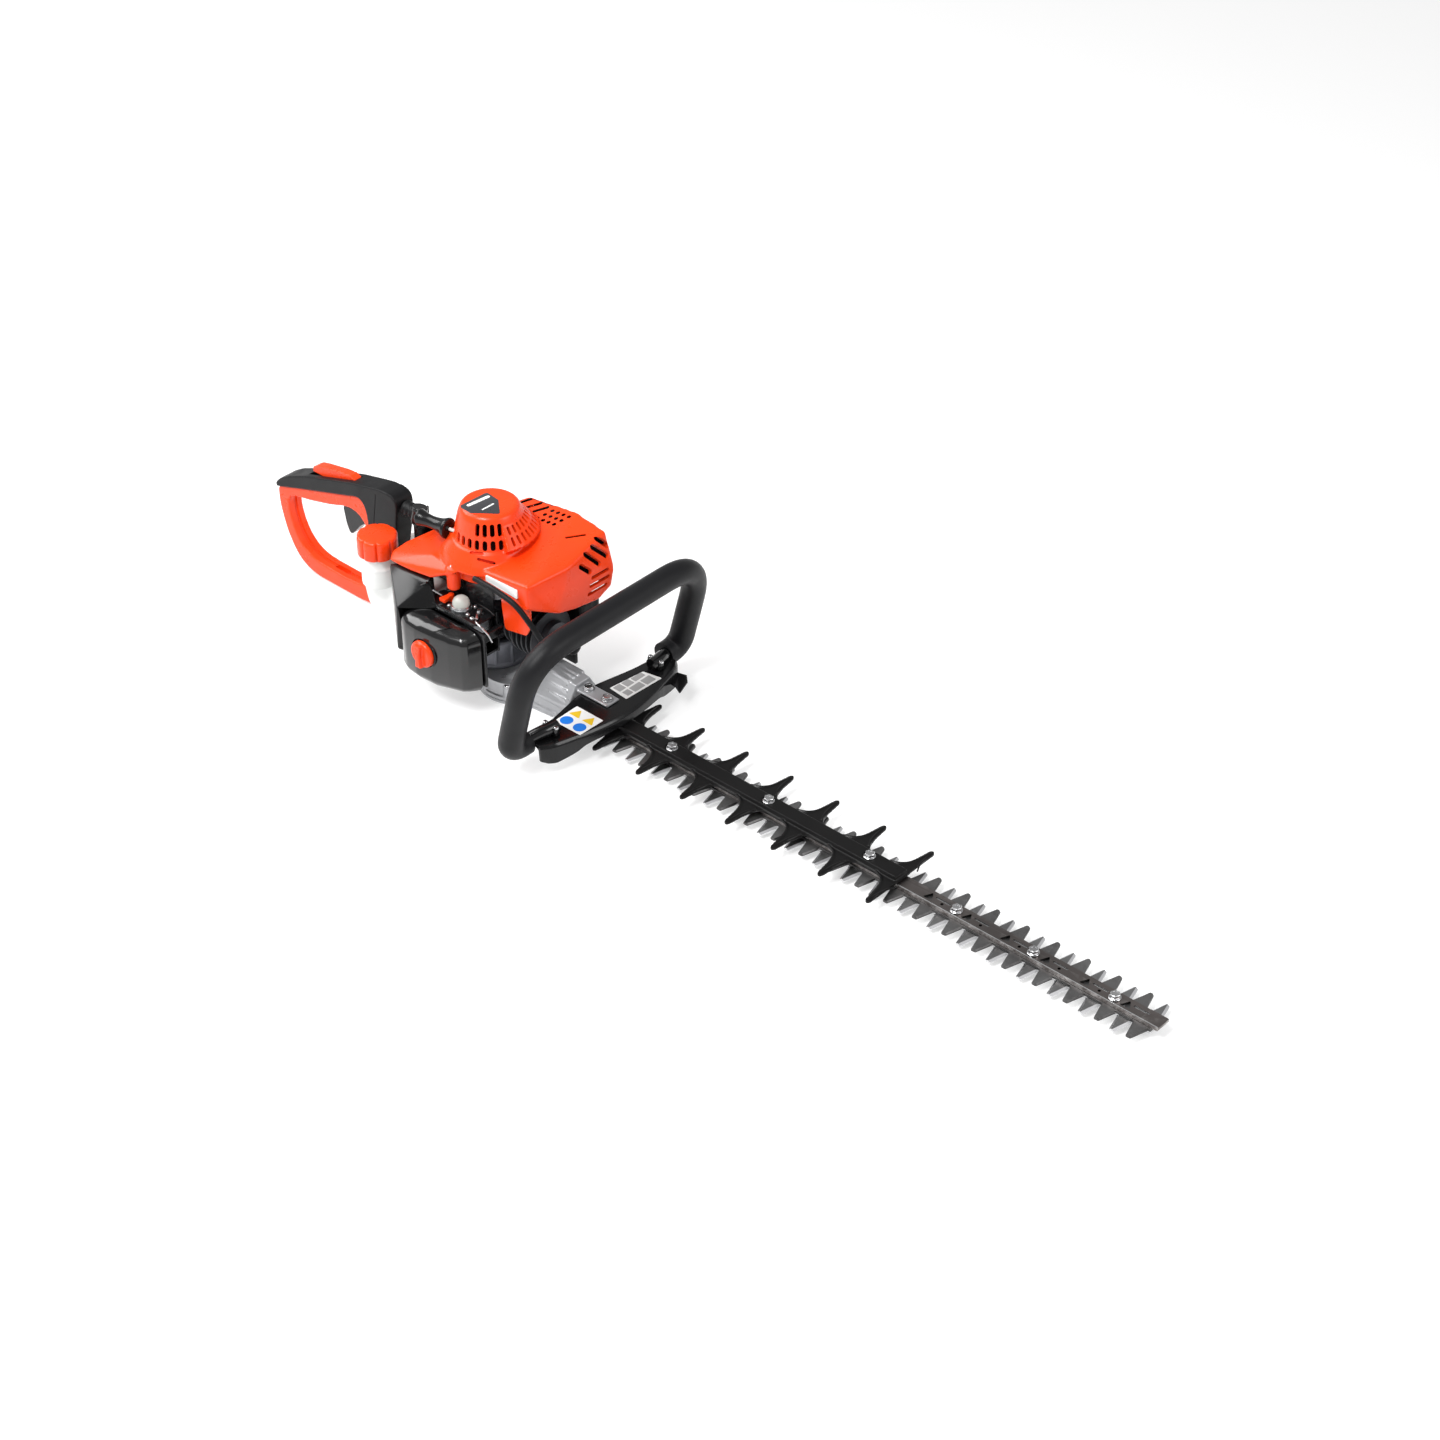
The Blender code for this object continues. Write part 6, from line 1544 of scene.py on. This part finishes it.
GUARD_STATIONS = ((0.0995, 0.0965, 0.1175, 0.029), (0.093, 0.0955, 0.1225, 0.0255),
    (0.085, 0.0945, 0.126, 0.024), (0.064, 0.0925, 0.132, 0.028), (0.053, 0.091, 0.135, 0.0335),
    (0.03, 0.086, 0.14, 0.035), (0.012, 0.0825, 0.142, 0.036))
GUARD_TAB = ((0.118, 0.078), (0.135, 0.0761), (0.1464, 0.0705), (0.139, 0.0905), (0.1305, 0.0985),
    (0.118, 0.095))


def make_hand_guard():
    """Thin plate with an apron turned down in front, a rolled rear edge and a tab."""
    top = GUARD_TOP_Z
    sheet = 0.003
    line = [(-s[0], *s[1:]) for s in GUARD_STATIONS] + list(reversed(GUARD_STATIONS))
    fine = []
    for a, b in zip(line, line[1:]):
        for i in range(5):
            fine.append([a[k] + (b[k] - a[k]) * i / 5 for k in range(4)])
    fine.append(list(line[-1]))
    for _ in range(3):
        fine = [fine[0]] + [[(a[k] + 2 * b[k] + c[k]) / 4 if k else b[0] for k in range(4)]
            for a, b, c in zip(fine, fine[1:], fine[2:])] + [fine[-1]]
    rings = []
    for y, rear, front, foot in fine:
        rings.append([(rear, y, top - 0.0008), (rear + 0.0008, y, top), (front - 0.0062, y, top),
            (front - 0.0034, y, top - 0.0005), (front - 0.0014, y, top - 0.0024),
            (front - 0.0005, y, top - 0.0052), (front, y, foot + 0.0008), (front - 0.0006, y, foot),
            (front - sheet, y, foot), (front - 0.0038, y, top - 0.006), (front - 0.0052, y, top - 0.0044),
            (front - 0.0072, y, top - sheet), (rear + 0.0004, y, top - sheet),
            (rear, y, top - sheet + 0.0006)])
    guard = loft("hand_guard_pressed", rings)
    bevelled(guard, 0.0004, 2, 50)
    tab = prism("tab", rounded_outline(GUARD_TAB, 0.0012, 3), 0.0345, 0.0362)
    united(guard, bevelled(tab, 0.0004, 2), solver="EXACT")
    settle(guard, "black_plastic", BLACK, "hand_guard", angle=32)
    make_guard_labels()


def label(name, corners, level, thickness, finish, radius=0.0012):
    """Flat patch that lies on the hand guard."""
    patch = prism(name, rounded_outline(corners, radius, 4), level, level + thickness)
    settle(patch, "black_plastic", finish)


def make_guard_labels():
    """Blank stickers with plain coloured patches, and no lettering or signs."""
    top = GUARD_TOP_Z
    label("guard_label_right", [(0.0962, -0.0595), (0.0955, -0.0259), (0.132, -0.0261), (0.1316, -0.0589)],
        top, 0.00016, STICKER_WHITE)
    for i, x in enumerate((0.1045, 0.1225)):
        label(f"guard_patch_yellow_{i + 1}", [(x - 0.0072, -0.04), (x + 0.0072, -0.04), (x, -0.0285)],
            top + 0.00014, 0.00012, STICKER_YELLOW, 0.001)
        disc = revolve(f"guard_patch_blue_{i + 1}", [(0.0068, top + 0.00014), (0.0068, top + 0.00026)],
            (x, -0.05, 0.0), steps=40)
        settle(disc, "black_plastic", STICKER_BLUE)
    label("guard_label_left", [(0.0984, 0.0183), (0.1238, 0.0159), (0.1258, 0.0664), (0.1037, 0.0618)], top,
        0.00016, STICKER_WHITE)
    for i, (y0, y1, x0, x1) in enumerate(((0.0205, 0.03, 0.1005, 0.1105), (0.032, 0.042, 0.1012, 0.1105),
            (0.021, 0.029, 0.113, 0.1215), (0.031, 0.046, 0.113, 0.1222), (0.044, 0.059, 0.103, 0.11),
            (0.048, 0.061, 0.1125, 0.1228))):
        label(f"guard_patch_grey_{i + 1}", [(x0, y0), (x1, y0), (x1, y1), (x0, y1)], top + 0.00014, 0.00012,
            STICKER_GREY, 0.0008)


# ---- Stage ---------------------------------------------------------------------------------------

FLOOR_HALF = 30.0
FLOOR_GREY = 0.55
FLOOR_GLOW = 0.5
SKY_STRENGTH = 0.42
LIGHT_AIM = Vector((0.08, 0.0, 0.08))
# Name, place, width of the lamp and its power
LAMPS = (("key", (0.1, -1.2, 2.0), 0.8, 46.0), ("fill", (1.9, 0.5, 1.2), 1.0, 16.0),
    ("side", (-1.5, -0.5, 1.5), 1.4, 38.0))
CAMERA_PLACE = (1.90536, -1.81674, 1.8872)
CAMERA_LOOK = Vector((-0.5399, 0.59794, -0.59244))
CAMERA_LENS = 78.525


def make_stage():
    """Pale floor that glows a little, so that shadows stay soft, three lamps and the camera."""
    floor = mesh_object("floor", [(-FLOOR_HALF, -FLOOR_HALF, 0), (FLOOR_HALF, -FLOOR_HALF, 0),
        (FLOOR_HALF, FLOOR_HALF, 0), (-FLOOR_HALF, FLOOR_HALF, 0)], [(0, 1, 2, 3)])
    pale = Nodes("floor_pale")
    pale.shader.inputs["Base Color"].default_value = (FLOOR_GREY, FLOOR_GREY, FLOOR_GREY, 1.0)
    pale.shader.inputs["Emission Color"].default_value = (1.0, 1.0, 1.0, 1.0)
    pale.shader.inputs["Emission Strength"].default_value = FLOOR_GLOW
    pale.shader.inputs["Roughness"].default_value = 0.9
    floor.data.materials.append(pale.material)

    bpy.context.scene.view_settings.view_transform = "Standard"
    world = bpy.data.worlds.new("studio")
    bpy.context.scene.world = world
    world.use_nodes = True
    world.node_tree.nodes["Background"].inputs["Color"].default_value = (1.0, 1.0, 1.0, 1.0)
    world.node_tree.nodes["Background"].inputs["Strength"].default_value = SKY_STRENGTH

    for name, place, size, power in LAMPS:
        data = bpy.data.lights.new(name, "AREA")
        data.size = size
        data.energy = power
        light = linked(name, data)
        light.location = place
        light.rotation_euler = (LIGHT_AIM - Vector(place)).to_track_quat("-Z", "Y").to_euler()

    data = bpy.data.cameras.new("camera")
    data.sensor_width = 36.0
    data.lens = CAMERA_LENS
    data.clip_end = 100.0
    camera = linked("camera", data)
    camera.location = CAMERA_PLACE
    camera.rotation_euler = CAMERA_LOOK.to_track_quat("-Z", "Y").to_euler()
    bpy.context.scene.camera = camera


finish_carried_nodes()
make_blades()
make_guide_bar()
make_blade_guard()
make_bolts()
make_gear_case()
make_engine_cover()
make_starter()
make_cylinder()
make_crankcase()
make_exhaust()
make_air_filter()
make_filter_case()
make_carburetor()
make_tank()
make_rear_handle()
make_mounts()
make_front_handle()
make_hand_guard()
make_stage()
